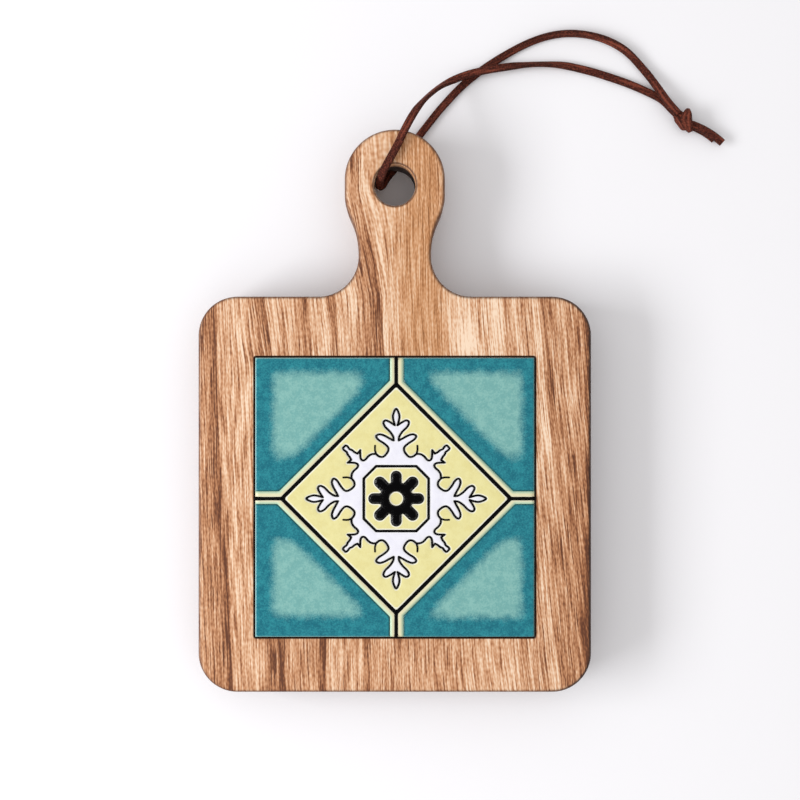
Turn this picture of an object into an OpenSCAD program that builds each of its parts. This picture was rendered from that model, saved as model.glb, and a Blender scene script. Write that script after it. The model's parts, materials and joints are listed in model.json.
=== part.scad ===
/* [Board] */
// Wood left on each side of the tile
side_border = 20.5; // [16:0.5:40]
// Wood left below the tile
bottom_border = 20; // [16:0.5:40]
// Wood left above the tile, towards the handle
top_border = 22; // [16:0.5:40]
// Thickness of the board
board_t = 15; // [12:0.5:25]
// Radius of the four corners
corner_r = 14; // [8:0.5:15.5]
// Size of the eased edges all round the board
edge_r = 1.2; // [0.5:0.1:2.5]

/* [Handle] */
// Length of the handle beyond the square part
handle_l = 60; // [57:0.5:90]
// Width of the rounded head
head_w = 36; // [32:0.5:40]
// Straight stretch on each flank of the head
flank_l = 5.5; // [2:0.5:8]
// Width of the neck at its narrowest
neck_w = 26; // [20:0.5:30]
// Radius of the hollow shoulders beside the neck
shoulder_r = 14.5; // [8:0.5:17]
// Diameter of the hanging hole
hole_d = 15; // [12:0.5:18]
// Distance from the end of the handle to the centre of the hole
hole_drop = 20; // [16:0.5:24]
// Size of the eased rim of the hole
hole_rim = 0.6; // [0.2:0.1:1.2]

/* [Tile] */
// Side of the square tile
tile_w = 100; // [98:1:152]
// Thickness of the tile with its glaze
tile_t = 7; // [5:0.5:9]
// Height of the glazed face above the board
tile_proud = 0.8; // [0.3:0.1:2]
// Gap between the tile and the wood round it
tile_gap = 0.5; // [0.3:0.1:1.5]
// Thickness of the glaze pools
glaze_t = 0.4; // [0.2:0.1:0.8]
// Pale arris left bare along the tile's edge
arris_w = 0.5; // [0.3:0.1:1.5]
// Depth of the grooves in the tile's back
groove_h = 0.8; // [0.4:0.1:1.5]
// Width of each rib between those grooves
rib_w = 6; // [3:0.5:7]
// Number of ribs
rib_count = 9; // [4:1:11]

/* [Adhesive] */
// Thickness of the combed bed of adhesive
bed_t = 1; // [0.6:0.1:2]
// Distance from the bed's edge to the tile's edge
bed_inset = 6; // [2:0.5:15]
// Width of each combed furrow
furrow_w = 3; // [1:0.5:4]
// Depth of the furrows
furrow_h = 0.5; // [0.2:0.1:0.5]
// Number of furrows
furrow_count = 11; // [3:1:14]

/* [Pattern] */
// Sideways shift of the pattern on the tile
shift_x = 0.4; // [-1:0.1:1]
// Lengthways shift of the pattern on the tile
shift_y = -0.5; // [-1:0.1:1]
// Centre to each point of the diamond, on the line's middle
diamond_reach = 40.6; // [36:0.2:45]
// Width of the diamond's black line and of its four arms
line_w = 1.1; // [0.6:0.1:1.8]
// Height of every black line above the glaze
line_rise = 0.2; // [0.1:0.05:0.4]
// Width of the pale strip along the diamond
strip_w = 2; // [1:0.1:3]
// Width of the pale strip on the left of the upright arms
strip_left_w = 1.7; // [1:0.1:3]
// Width of the pale strip on the right of the upright arms
strip_right_w = 2.1; // [1:0.1:3]
// Width of the pale strip above the level arms
strip_upper_w = 2.1; // [1:0.1:3]
// Width of the pale strip below the level arms
strip_lower_w = 1.4; // [1:0.1:3]

/* [Rosette] */
// Clear space from the tip of each long arm of the rosette to the diamond's point
rosette_gap = 8.4; // [7.4:0.2:10]
// Width of the rosette's outline
outline_w = 0.6; // [0.4:0.05:0.8]
// White band between the octagon's sides and the rosette's shoulders
octagon_gap = 1.6; // [1:0.1:2.4]
// Size of the octagon's cut corners
octagon_cut = 4.7; // [3:0.1:7]
// Width of the octagon's line
octagon_line_w = 0.65; // [0.4:0.05:0.9]

/* [Flower] */
// Clear space from the end of each petal to the outside of the octagon
flower_gap = 2.1; // [1.6:0.1:3.2]
// Width of a petal
petal_w = 3.9; // [2.5:0.1:4.5]
// Number of petals
petal_count = 8; // [5:1:9]
// Height of the flower above the glaze
flower_rise = 0.6; // [0.3:0.1:1]
// Outer diameter of the raised ring round the eye
ring_d = 12; // [9:0.2:13]
// Diameter of the open eye
eye_d = 5; // [3.5:0.1:6]

/* [Pads] */
// Diameter of each pad
pad_d = 10; // [6:0.5:14]
// Height of each pad
pad_h = 2; // [1:0.1:4]
// Rounding round the bottom of each pad
pad_round = 0.8; // [0.3:0.1:0.9]
// Centre of each pad to the edges of the board
pad_inset = 15; // [12:0.5:20]

/* [Lace] */
// Width of the flat lace
lace_w = 2.8; // [2:0.1:3.6]
// Thickness of the lace
lace_t = 1.4; // [1:0.1:1.5]
// Length of the knot along the lace
knot_l = 6.6; // [5:0.1:9]
// Width of the knot across the lace
knot_w = 6.4; // [5:0.1:8]
// Length of the longer tail past the knot
long_tail_l = 14; // [8:0.5:30]
// Length of the shorter tail past the knot
short_tail_l = 10.5; // [6:0.5:30]

/* [Hidden] */
$fn = 64;

// Colours
wood_colour = "#d2a276";
clay_colour = "#e9e0cf";
adhesive_colour = "#dcdcd6";
teal_colour = "#3f8f98";
cream_colour = "#f0e6be";
yellow_colour = "#ebe39b";
white_colour = "#efedf8";
black_colour = "#0d0c10";
pad_colour = "#e4e2dc";
lace_colour = "#6b3328";

// Overrun of every cut past the face it opens
over = 1;
root2 = sqrt(2);

// Heights above the surface that the pads stand on
board_z = pad_h;
board_top = board_z + board_t;
glaze_top = board_top + tile_proud;
tile_z = glaze_top - tile_t;
clay_top = glaze_top - glaze_t;
bed_z = tile_z - bed_t;

// Plan of the board, centred on its outermost edges
board_w = tile_w + 2 * side_border;
board_l = tile_w + bottom_border + top_border;
overall_l = board_l + handle_l;
board_y0 = -overall_l / 2;
board_y1 = board_y0 + board_l;
handle_y1 = overall_l / 2;
tile_y = board_y0 + bottom_border + tile_w / 2;
pattern_at = [shift_x, tile_y + shift_y];
// Height of the flower's ring as a share of its petals' height
ring_rise_share = 1.2;
hole_at = [0, handle_y1 - hole_drop];
// Reach of the pattern's parts from its centre, each from the one round it
rosette_reach = diamond_reach - rosette_gap;
shoulder_share = 0.425;
octagon_w = 2 * (rosette_reach * shoulder_share - octagon_gap);
flower_reach = octagon_w / 2 - flower_gap;
recess_w = tile_w + 2 * tile_gap;
recess_r = 2 * tile_gap;

// Arcs of the handle: the head's two circles and the two hollows of the neck
head_r = head_w / 2;
neck_half = neck_w / 2;
head_y = handle_y1 - head_r;
flank_y = head_y - flank_l;
hollow_y = board_y1 + shoulder_r;
hollow_drop = flank_y - hollow_y;
// The hollow is a little wider than the circle that only touches the head
neck_spare = 0.3;
neck_r = (neck_half * neck_half + hollow_drop * hollow_drop - head_r * head_r)
    / (2 * (head_r - neck_half)) + neck_spare;
shoulder_x = neck_half + shoulder_r;
hollow_x = neck_half + neck_r;
// Angle at which the hollow of the neck leaves the head, below the level
leave_angle = atan2(hollow_drop, hollow_x);

// Parts of the quarter round that eases every edge
edge_steps = 3;
// Sweep that each hollow of the neck runs on past the head, in the open
spare_angle = 5;

// Rosette outline, one eighth from the tip of an arm to the diagonal, as shares of
// the rosette's reach: sideways from the arm, then along it. Each row is a smooth
// stretch that ends in a sharp corner.
TIP_SHARES = [[0, 1], [0.026, 0.958], [0.036, 0.9], [0.015, 0.815]];
LEAF_SHARES = [
    [0.015, 0.815], [0.068, 0.85], [0.115, 0.87], [0.142, 0.848],
    [0.124, 0.8], [0.07, 0.745], [0.034, 0.69], [0.028, 0.646]
];
BAY_SHARES = [
    [0.028, 0.646], [0.075, 0.67], [0.13, 0.7], [0.184, 0.715], [0.223, 0.695],
    [0.198, 0.655], [0.137, 0.615], [0.09, 0.57], [0.093, 0.522], [0.137, 0.469],
    [0.185, 0.467], [0.224, 0.497]
];
SHOULDER_SHARES = [
    [0.224, 0.497], [0.27, 0.494], [0.308, 0.472], [0.345, 0.432],
    [0.376, shoulder_share], [0.397, 0.458], [0.4, 0.54]
];
BARB_SHARES = [
    [0.43, 0.5], [0.462, 0.516], [0.492, 0.54], [0.518, 0.55],
    [0.54, 0.58], [0.562, 0.592], [0.577, 0.577]
];
CURL_SHARES = [[0.224, 0.497], [0.236, 0.54], [0.235, 0.588]];
curve_steps = 2;

// Route of the lace from the knot along its upper leg, through the hole and back
// along its lower leg, from the centre of the hole. Heights are above the surface.
LACE_ROUTE = [
    [104.6, 28.4, 2.4], [102.6, 30.6, 1.9], [100.2, 33.4, 1.2], [97.1, 35.7, 0.8],
    [88.6, 39.6, 0.8], [80, 42.7, 0.8], [71.3, 45.3, 0.8], [62.8, 47, 0.8],
    [54.4, 47.4, 0.8], [46, 46.9, 1.2], [38.8, 45.8, 2.5], [32.8, 44.7, 2.8],
    [27, 43.3, 2.8], [21.7, 41.1, 3.2], [16.5, 37.8, 5.4], [12.4, 33.8, 9],
    [9, 29.4, 13.2], [6.3, 24.8, 16.8], [3.7, 19.8, 18.2], [1, 14.2, 18.2],
    [-1.6, 9.4, 18.2], [-3.4, 6.4, 17.8], [-4.7, 4.2, 16], [-5.3, 2.9, 13.4],
    [-5.5, 2.2, 10], [-5.3, 2.4, 6.8], [-4.4, 3.4, 4.1], [-2.8, 5.3, 2],
    [-0.5, 8.3, 0.9], [4.7, 15.2, 0.8], [10.2, 22.5, 0.8], [18, 32.2, 0.8],
    [27.2, 41.5, 0.8], [39, 49.7, 0.8], [52, 56.3, 0.8], [63.6, 58.8, 0.8],
    [75.3, 57.4, 0.8], [85.1, 52.8, 0.8], [92.4, 45.3, 1.2], [97.1, 38.7, 2.5],
    [100.6, 33.4, 3.4], [104.6, 28.4, 4.1]
];
lace_steps = 2;
lace_sides = 8;
// Clear space between the lace's pieces, and how high it lies above the surface
lace_gap = 0.3;
lace_z = 0.1;
// Knot: its centre from the centre of the hole, its heading, and its two turns
knot_at = [106.8, 26.2, knot_w / 2];
knot_turn = -46;
turn_slants = [-18, 22];
turn_place_share = 0.45;
// Headings of the two tails, and the slope of the longer one
long_tail_turn = -27;
short_tail_turn = -30;
droop_angle = 5;

// Curve through points: Catmull-Rom between each pair, with steps parts a span
function curve(p, steps) = [
    for (i = [0 : len(p) - 2])
        let (a = p[max(i - 1, 0)], b = p[i], c = p[i + 1], d = p[min(i + 2, len(p) - 1)])
        for (j = [0 : steps - 1])
            let (t = j / steps)
            (2 * b + (c - a) * t + (2 * a - 5 * b + 4 * c - d) * t * t
                + (3 * b - a - 3 * c + d) * t * t * t) / 2,
    p[len(p) - 1]
];
function without_last(p) = [for (i = [0 : len(p) - 2]) p[i]];
function turned(p, angle) = [
    for (q = p) [q[0] * cos(angle) - q[1] * sin(angle), q[0] * sin(angle) + q[1] * cos(angle)]
];

// The whole closed rosette: the eighth, its mirror image, and that quarter four times
function eighth() = concat(
    without_last(curve(TIP_SHARES, curve_steps)),
    without_last(curve(LEAF_SHARES, curve_steps)),
    without_last(curve(BAY_SHARES, curve_steps)),
    curve(SHOULDER_SHARES, curve_steps),
    without_last(curve(BARB_SHARES, curve_steps))
);
function swapped(p) = [for (i = [len(p) - 1 : -1 : 1]) [p[i][1], p[i][0]]];
function quarter() = concat(eighth(), [BARB_SHARES[len(BARB_SHARES) - 1]], swapped(eighth()));
function rosette_points() = [
    for (k = [0 : 3]) each turned(quarter() * rosette_reach, -90 * k)
];

// An octagon made by cutting the corners of a square
function octagon_points(w, cut) = let (h = w / 2, s = h - cut)
    [[s, -h], [h, -s], [h, s], [s, h], [-s, h], [-h, s], [-h, -s], [-s, -h]];

// Section of an edge from the underside up to the top, eased at both: way is -1 for a
// rim of wood and 1 for the wall that a cutter leaves
function ease(i) = edge_r * [1 - cos(90 * i / edge_steps), 1 - sin(90 * i / edge_steps)];
function edge_section(r, way) = concat(
    [for (i = [edge_steps : -1 : 0]) [r + way * ease(i)[0], board_z + ease(i)[1]]],
    [for (i = [0 : edge_steps]) [r + way * ease(i)[0], board_top - ease(i)[1]]]
);

// Sector of a disc of wood with an eased rim
module wood_sector(centre, r, start, sweep) {
    translate([centre[0], centre[1], 0])
        rotate([0, 0, start])
            rotate_extrude(angle = sweep)
                polygon(concat([[0, board_top], [0, board_z]], edge_section(r, -1)));
}

// Bar of wood with eased flanks, running along X
module wood_bar(width, length) {
    half = edge_section(width / 2, -1);
    rotate([90, 0, 90])
        linear_extrude(length)
            polygon(concat(half, [for (i = [len(half) - 1 : -1 : 0]) [-half[i][0], half[i][1]]]));
}

// Sector cut out of the wood, whose wall flares at both faces
module hollow_sector(centre, r, start, sweep) {
    reach = r + edge_r;
    translate([centre[0], centre[1], 0])
        rotate([0, 0, start])
            rotate_extrude(angle = sweep)
                polygon(concat(
                    [[0, board_top + over], [0, board_z - over], [reach, board_z - over]],
                    edge_section(r, 1),
                    [[reach, board_top + over]]
                ));
}

// Square part of the board
module square_wood() {
    x = board_w / 2 - corner_r;
    y0 = board_y0 + corner_r;
    y1 = board_y1 - corner_r;
    translate([-x, board_y0 + board_l / 2, 0])
        wood_bar(board_l, 2 * x);
    translate([0, y0, 0])
        rotate([0, 0, 90])
            wood_bar(board_w, y1 - y0);
    wood_sector([x, y1], corner_r, 0, 90);
    wood_sector([-x, y1], corner_r, 90, 90);
    wood_sector([-x, y0], corner_r, 180, 90);
    wood_sector([x, y0], corner_r, 270, 90);
}

// Head of the handle with the block that the neck is cut from
module handle_wood() {
    wood_sector([0, head_y], head_r, 0, 180);
    wood_sector([0, flank_y], head_r, 180, 180);
    translate([0, flank_y, 0])
        rotate([0, 0, 90])
            wood_bar(head_w, flank_l);
    translate([0, 0, board_z])
        linear_extrude(board_t)
            polygon([
                [-shoulder_x, board_y1 - top_border / 2], [shoulder_x, board_y1 - top_border / 2],
                [shoulder_x, hollow_y], [hollow_x, hollow_y], [0, flank_y],
                [-hollow_x, hollow_y], [-shoulder_x, hollow_y]
            ]);
}

// Hollows beside the neck and the shoulder, on the left
module neck_cut() {
    hollow_sector([-hollow_x, hollow_y], neck_r, 0, leave_angle + spare_angle);
    hollow_sector([-shoulder_x, hollow_y], shoulder_r, 270, 90);
}

// Flared cutter for one rim of the hole, opening upwards from the rim's inner end
module rim_cut() {
    translate([0, 0, -hole_rim])
        cylinder(r1 = hole_d / 2, r2 = hole_d / 2 + hole_rim + over, h = hole_rim + over);
}

module hole_cut() {
    translate([hole_at[0], hole_at[1], board_z - over])
        cylinder(d = hole_d, h = board_t + 2 * over);
    translate([hole_at[0], hole_at[1], board_top])
        rim_cut();
    translate([hole_at[0], hole_at[1], board_z])
        mirror([0, 0, 1])
            rim_cut();
}

module recess_cut() {
    half = recess_w / 2;
    translate([0, tile_y, bed_z])
        linear_extrude(board_top - bed_z + over)
            union() {
                square([recess_w, recess_w - 2 * recess_r], center = true);
                square([recess_w - 2 * recess_r, recess_w], center = true);
                for (x = [-1, 1], y = [-1, 1])
                    translate([x * (half - recess_r), y * (half - recess_r)])
                        circle(recess_r);
            }
}

module board() {
    color(wood_colour)
        difference() {
            union() {
                square_wood();
                handle_wood();
            }
            neck_cut();
            mirror([1, 0, 0])
                neck_cut();
            hole_cut();
            recess_cut();
        }
}

module tile_adhesive() {
    bed_w = tile_w - 2 * bed_inset;
    pitch = bed_w / furrow_count;
    color(adhesive_colour)
        difference() {
            translate([-bed_w / 2, tile_y - bed_w / 2, bed_z])
                cube([bed_w, bed_w, bed_t]);
            for (i = [0 : furrow_count - 1])
                translate([-bed_w / 2 - over, tile_y - bed_w / 2 + (i + 0.5) * pitch - furrow_w / 2,
                    tile_z - furrow_h])
                    cube([bed_w + 2 * over, furrow_w, furrow_h + over]);
        }
}

// Slab of the tile seen from one side, with its arris cut off both upper corners
module tile_slab() {
    half = tile_w / 2;
    rotate([90, 0, 0])
        linear_extrude(tile_w, center = true)
            polygon([
                [-half, tile_z], [half, tile_z], [half, clay_top - arris_w], [half - arris_w, clay_top],
                [arris_w - half, clay_top], [-half, clay_top - arris_w]
            ]);
}

module tile_body() {
    pitch = (tile_w - rib_w) / (rib_count - 1);
    color(clay_colour)
        translate([0, tile_y, 0])
            difference() {
                intersection() {
                    tile_slab();
                    rotate([0, 0, 90])
                        tile_slab();
                }
                for (i = [0 : rib_count - 2])
                    translate([-tile_w / 2 + rib_w + i * pitch, -tile_w / 2 - over, tile_z - over])
                        cube([pitch - rib_w, tile_w + 2 * over, groove_h + over]);
            }
}

// Square of glaze inside the arris
module field() {
    translate([0, tile_y])
        square(tile_w - 2 * arris_w, center = true);
}

module diamond(reach) {
    translate(pattern_at)
        rotate(45)
            square(reach * root2, center = true);
}

// Corner of the field past the arms and outside a diamond
module corner_region(sx, sy, gap_x, gap_y, reach) {
    intersection() {
        field();
        difference() {
            translate(pattern_at)
                mirror([sx < 0 ? 1 : 0, 0])
                    mirror([0, sy < 0 ? 1 : 0])
                        translate([gap_x, gap_y])
                            square(tile_w);
            diamond(reach);
        }
    }
}

module teal_region(sx, sy) {
    corner_region(sx, sy,
        line_w / 2 + (sx < 0 ? strip_left_w : strip_right_w),
        line_w / 2 + (sy < 0 ? strip_lower_w : strip_upper_w),
        diamond_reach + (line_w / 2 + strip_w) * root2);
}

module teal_glaze(sx, sy) {
    color(teal_colour)
        translate([0, 0, clay_top])
            linear_extrude(glaze_t)
                teal_region(sx, sy);
}

module cream_strip(sx, sy) {
    color(cream_colour)
        translate([0, 0, clay_top])
            linear_extrude(glaze_t)
                difference() {
                    corner_region(sx, sy, line_w / 2, line_w / 2, diamond_reach + line_w / root2);
                    teal_region(sx, sy);
                }
}

// Area inside the rosette's outline, grown or shrunk by half the line
module rosette_region(grow) {
    translate(pattern_at)
        offset(r = grow, $fn = 8)
            polygon(rosette_points());
}

// One curl: a strip of the outline's width along its short curve, on one side of the arm
module curl(side) {
    p = curve(CURL_SHARES * rosette_reach, curve_steps);
    last = len(p) - 1;
    edge = [
        for (i = [0 : last])
            let (d = p[min(i + 1, last)] - p[max(i - 1, 0)])
            [d[1], -d[0]] / norm(d) * outline_w / 2
    ];
    strip = concat([for (i = [0 : last]) p[i] + edge[i]], [for (i = [last : -1 : 0]) p[i] - edge[i]]);
    // The mirrored strip is run through backwards, so that both turn the same way
    order = side > 0 ? [0 : len(strip) - 1] : [len(strip) - 1 : -1 : 0];
    polygon([for (i = order) [side * strip[i][0], strip[i][1]]]);
}

module all_curls() {
    translate(pattern_at)
        for (k = [0 : 3], side = [-1, 1])
            rotate(90 * k)
                curl(side);
}

module yellow_glaze() {
    color(yellow_colour)
        translate([0, 0, clay_top])
            linear_extrude(glaze_t)
                difference() {
                    diamond(diamond_reach - line_w / root2);
                    rosette_region(outline_w / 2);
                    all_curls();
                }
}

module white_glaze() {
    color(white_colour)
        translate([0, 0, clay_top])
            linear_extrude(glaze_t)
                difference() {
                    rosette_region(-outline_w / 2);
                    translate(pattern_at)
                        polygon(octagon_points(octagon_w, octagon_cut));
                }
}

module octagon_glaze() {
    color(yellow_colour)
        translate([pattern_at[0], pattern_at[1], clay_top])
            linear_extrude(glaze_t)
                inner_octagon();
}

module inner_octagon() {
    w = octagon_w - 2 * octagon_line_w;
    // The cut corners keep their line as wide as the sides'
    polygon(octagon_points(w, octagon_cut - octagon_line_w * (2 - root2)));
}

module diamond_line() {
    color(black_colour)
        translate([0, 0, clay_top])
            linear_extrude(glaze_t + line_rise)
                difference() {
                    union() {
                        diamond(diamond_reach + line_w / root2);
                        intersection() {
                            field();
                            translate(pattern_at)
                                for (a = [0, 90])
                                    rotate(a)
                                        square([line_w, 2 * tile_w], center = true);
                        }
                    }
                    diamond(diamond_reach - line_w / root2);
                }
}

module rosette_line() {
    color(black_colour)
        translate([0, 0, clay_top])
            linear_extrude(glaze_t + line_rise)
                difference() {
                    union() {
                        rosette_region(outline_w / 2);
                        all_curls();
                    }
                    rosette_region(-outline_w / 2);
                }
}

module octagon_line() {
    color(black_colour)
        translate([pattern_at[0], pattern_at[1], clay_top])
            linear_extrude(glaze_t + line_rise)
                difference() {
                    polygon(octagon_points(octagon_w, octagon_cut));
                    inner_octagon();
                }
}

// Flattened ball whose upper half stands on the glaze
module glaze_bead(w, rise) {
    scale([w / 2, w / 2, rise])
        sphere(1, $fn = 24);
}

// Eight long beads and a raised ring round the open eye, cut off at the glaze
module flower_relief() {
    half = petal_w / 2;
    ring_w = (ring_d - eye_d) / 2;
    ring_rise = flower_rise * ring_rise_share;
    color(black_colour)
        translate([pattern_at[0], pattern_at[1], glaze_top])
            difference() {
                union() {
                    for (k = [0 : petal_count - 1])
                        rotate([0, 0, 360 * k / petal_count])
                            hull() {
                                translate([eye_d / 2 + half, 0, 0])
                                    glaze_bead(petal_w, flower_rise);
                                translate([flower_reach - half, 0, 0])
                                    glaze_bead(petal_w, flower_rise);
                            }
                    scale([1, 1, ring_rise * 2 / ring_w])
                        rotate_extrude($fn = 48)
                            translate([(ring_d + eye_d) / 4, 0])
                                circle(d = ring_w, $fn = 16);
                }
                translate([0, 0, -ring_rise - over])
                    cylinder(r = flower_reach + over, h = ring_rise + over);
                translate([0, 0, -over])
                    cylinder(d = eye_d, h = ring_rise + 2 * over);
            }
}

module foot_pad(sx, y) {
    r = pad_d / 2;
    color(pad_colour)
        translate([sx * (board_w / 2 - pad_inset), y, 0])
            rotate_extrude()
                union() {
                    square([r - pad_round, pad_h]);
                    translate([0, pad_round])
                        square([r, pad_h - pad_round]);
                    translate([r - pad_round, pad_round])
                        circle(pad_round);
                }
}

// Frames along the lace: the width is carried from ring to ring without twist
function unit(v) = v / norm(v);
function heading(p, i) = unit(p[min(i + 1, len(p) - 1)] - p[max(i - 1, 0)]);
function carried(w, t) = unit(w - (w * t) * t);
function widths(p, i, w) = i == len(p) ? [] : let (n = carried(w, heading(p, i)))
    concat([n], widths(p, i + 1, n));

// A ring of the lace's section: a flat oval of lace_sides corners
function ring(centre, w, t) = let (n = cross(t, w))
    [for (k = [0 : lace_sides - 1])
        let (a = 360 * (k + 0.5) / lace_sides, s = cos(180 / lace_sides))
        centre + w * (cos(a) * lace_w / 2 / s) + n * (sin(a) * lace_t / 2 / s)];

module lace_tube(route, steps) {
    p = curve(route, steps);
    w = widths(p, 0, cross([0, 0, 1], heading(p, 0)));
    n = lace_sides;
    points = [for (i = [0 : len(p) - 1]) each ring(p[i], w[i], heading(p, i))];
    ends = [[for (k = [0 : n - 1]) k], [for (k = [n - 1 : -1 : 0]) (len(p) - 1) * n + k]];
    sides = [
        for (i = [0 : len(p) - 2], k = [0 : n - 1])
            let (a = i * n + k, b = i * n + (k + 1) % n)
            each [[a, a + n, b], [b, a + n, b + n]]
    ];
    polyhedron(points, concat(ends, sides), convexity = 8);
}

module lace_loop() {
    color(lace_colour)
        translate([hole_at[0], hole_at[1], 0])
            lace_tube(LACE_ROUTE, lace_steps);
}

module at_knot(turn) {
    translate([hole_at[0] + knot_at[0], hole_at[1] + knot_at[1], 0])
        rotate([0, 0, turn])
            children();
}

// One closed turn of the flat lace, lying round the Z axis, with rounded edges
module lace_turn() {
    rotate_extrude()
        translate([knot_w / 2 - lace_t / 2, 0])
            union() {
                square([lace_t, lace_w - lace_t], center = true);
                for (s = [-1, 1])
                    translate([0, s * (lace_w - lace_t) / 2])
                        circle(d = lace_t);
            }
}

// The knot: the strands inside it, with two slanting turns of lace round them
module lace_knot() {
    core_d = knot_w - 2 * lace_t + lace_gap;
    color(lace_colour)
        at_knot(knot_turn)
            translate([0, 0, knot_at[2]])
                union() {
                    rotate([0, 90, 0])
                        cylinder(d = core_d, h = knot_l - 2 * lace_gap, center = true);
                    for (a = turn_slants)
                        translate([sign(a) * turn_place_share * lace_w, 0, 0])
                            rotate([0, 90, a])
                                lace_turn();
                }
}

// Straight cut end of the lace, lying at a height and drooping by an angle
module tail(length, z, turn, droop) {
    color(lace_colour)
        at_knot(turn)
            translate([knot_l / 2, -lace_w / 2, z])
                rotate([0, droop, 0])
                    cube([length, lace_w, lace_t]);
}

// The longer tail lies on the shorter one and droops past its end
module lace_tail_long() {
    rest_z = lace_z + lace_t + lace_gap + short_tail_l * sin(droop_angle);
    tail(long_tail_l, rest_z, long_tail_turn, droop_angle);
}

module lace_tail_short() {
    tail(short_tail_l, lace_z, short_tail_turn, 0);
}

board();
tile_adhesive();
tile_body();
teal_glaze(-1, 1);  // teal_glaze_top_left
teal_glaze(1, 1);  // teal_glaze_top_right
teal_glaze(-1, -1);  // teal_glaze_bottom_left
teal_glaze(1, -1);  // teal_glaze_bottom_right
cream_strip(-1, 1);  // cream_strip_top_left
cream_strip(1, 1);  // cream_strip_top_right
cream_strip(-1, -1);  // cream_strip_bottom_left
cream_strip(1, -1);  // cream_strip_bottom_right
yellow_glaze();
white_glaze();
octagon_glaze();
diamond_line();
rosette_line();
octagon_line();
flower_relief();
foot_pad(-1, board_y0 + pad_inset);  // foot_pad_front_left
foot_pad(1, board_y0 + pad_inset);  // foot_pad_front_right
foot_pad(-1, board_y1 - pad_inset);  // foot_pad_back_left
foot_pad(1, board_y1 - pad_inset);  // foot_pad_back_right
lace_loop();
lace_knot();
lace_tail_long();
lace_tail_short();
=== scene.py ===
"""Trivet: a handled wooden board, a glazed relief tile let into it and a suede lace.

Every piece is worked out in millimetres in the frame of the CAD model and put into its
mesh in metres. The board, glazes, lines, flower, pads, lace, knot and tails are made
here with numpy; the tile's clay body and its adhesive are the CAD model's own nodes.
"""

from __future__ import annotations

import json
import logging
import math
from dataclasses import dataclass, field
from enum import Enum
from typing import Sequence

import bmesh
import bpy
import numpy as np
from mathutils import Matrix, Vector
from mathutils.geometry import delaunay_2d_cdt

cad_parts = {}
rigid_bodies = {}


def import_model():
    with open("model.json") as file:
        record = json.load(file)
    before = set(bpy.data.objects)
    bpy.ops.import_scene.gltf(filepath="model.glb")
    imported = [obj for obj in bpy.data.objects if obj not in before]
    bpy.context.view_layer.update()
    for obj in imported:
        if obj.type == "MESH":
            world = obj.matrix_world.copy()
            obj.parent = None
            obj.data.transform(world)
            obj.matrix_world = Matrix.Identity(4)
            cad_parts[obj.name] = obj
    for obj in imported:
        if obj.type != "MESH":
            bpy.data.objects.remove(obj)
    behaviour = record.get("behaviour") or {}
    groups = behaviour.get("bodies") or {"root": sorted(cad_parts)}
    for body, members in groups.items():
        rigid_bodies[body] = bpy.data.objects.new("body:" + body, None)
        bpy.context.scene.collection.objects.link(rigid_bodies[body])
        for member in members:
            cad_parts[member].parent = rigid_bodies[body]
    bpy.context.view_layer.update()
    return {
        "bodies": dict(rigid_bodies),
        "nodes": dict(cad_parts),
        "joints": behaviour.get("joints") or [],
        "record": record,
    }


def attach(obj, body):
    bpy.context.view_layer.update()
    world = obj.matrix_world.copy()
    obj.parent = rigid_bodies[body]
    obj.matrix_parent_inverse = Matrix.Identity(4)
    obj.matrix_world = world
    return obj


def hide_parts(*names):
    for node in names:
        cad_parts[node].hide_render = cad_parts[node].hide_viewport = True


Socket = bpy.types.NodeSocket
Material = bpy.types.Material

LOG = logging.getLogger("trivet")
MM = 0.001
BODY = "root"
ROOT2 = math.sqrt(2)
# Two places nearer than this, in mm, are one, and a divisor is never smaller than the next
NEAR = 1e-6
TINY = 1e-12
# Most pairs of a point and a side that are compared at once
MOST_PAIRS = 4_000_000


# ---------------------------------------------------------------- meshes


@dataclass
class Surface:
    """A mesh in the making, in millimetres.

    points is (n, 3), faces is a list of (m, 3) or (m, 4) index arrays, smooth says which
    of those arrays are shaded smooth, and values holds one number a point by name.
    """

    points: np.ndarray
    faces: list[np.ndarray]
    smooth: list[bool]
    values: dict[str, np.ndarray] = field(default_factory=dict)

    def moved(self, x: float, y: float, z: float) -> "Surface":
        """Returns the same surface shifted by x, y and z."""
        return Surface(self.points + np.array([x, y, z]), self.faces, self.smooth, self.values)

    def turned(self, angle: float) -> "Surface":
        """Returns the same surface turned about Z by an angle in degrees.

        Args:
            angle: the angle.

        Returns:
            The turned surface.
        """
        c, s = math.cos(math.radians(angle)), math.sin(math.radians(angle))
        spin = np.array([[c, s, 0], [-s, c, 0], [0, 0, 1]])
        return Surface(self.points @ spin, self.faces, self.smooth, self.values)


def joined(parts: Sequence[Surface]) -> Surface:
    """Puts several surfaces into one.

    Args:
        parts: surfaces that all carry the same named values.

    Returns:
        One surface, with the faces of each part counted on from the part before it.
    """
    starts = np.cumsum([0] + [len(p.points) for p in parts])
    faces = [f + start for p, start in zip(parts, starts) for f in p.faces]
    smooth = [s for p in parts for s in p.smooth]
    values = {k: np.concatenate([p.values[k] for p in parts]) for k in parts[0].values}
    return Surface(np.vstack([p.points for p in parts]), faces, smooth, values)


def grid_quads(rows: int, cols: int, close_rows: bool = False) -> np.ndarray:
    """Faces of a grid of points stored row by row, each row closed on itself.

    Args:
        rows: number of rows of points.
        cols: points in a row.
        close_rows: whether the last row joins the first.

    Returns:
        (m, 4) indices: each point, the one after it, and the same two in the next row.
    """
    r = np.arange(rows if close_rows else rows - 1)[:, None]
    c = np.arange(cols)[None, :]
    r1, c1 = (r + 1) % rows, (c + 1) % cols
    quads = np.stack([r * cols + c, r * cols + c1, r1 * cols + c1, r1 * cols + c], axis=-1)
    return quads.reshape(-1, 4)


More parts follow.
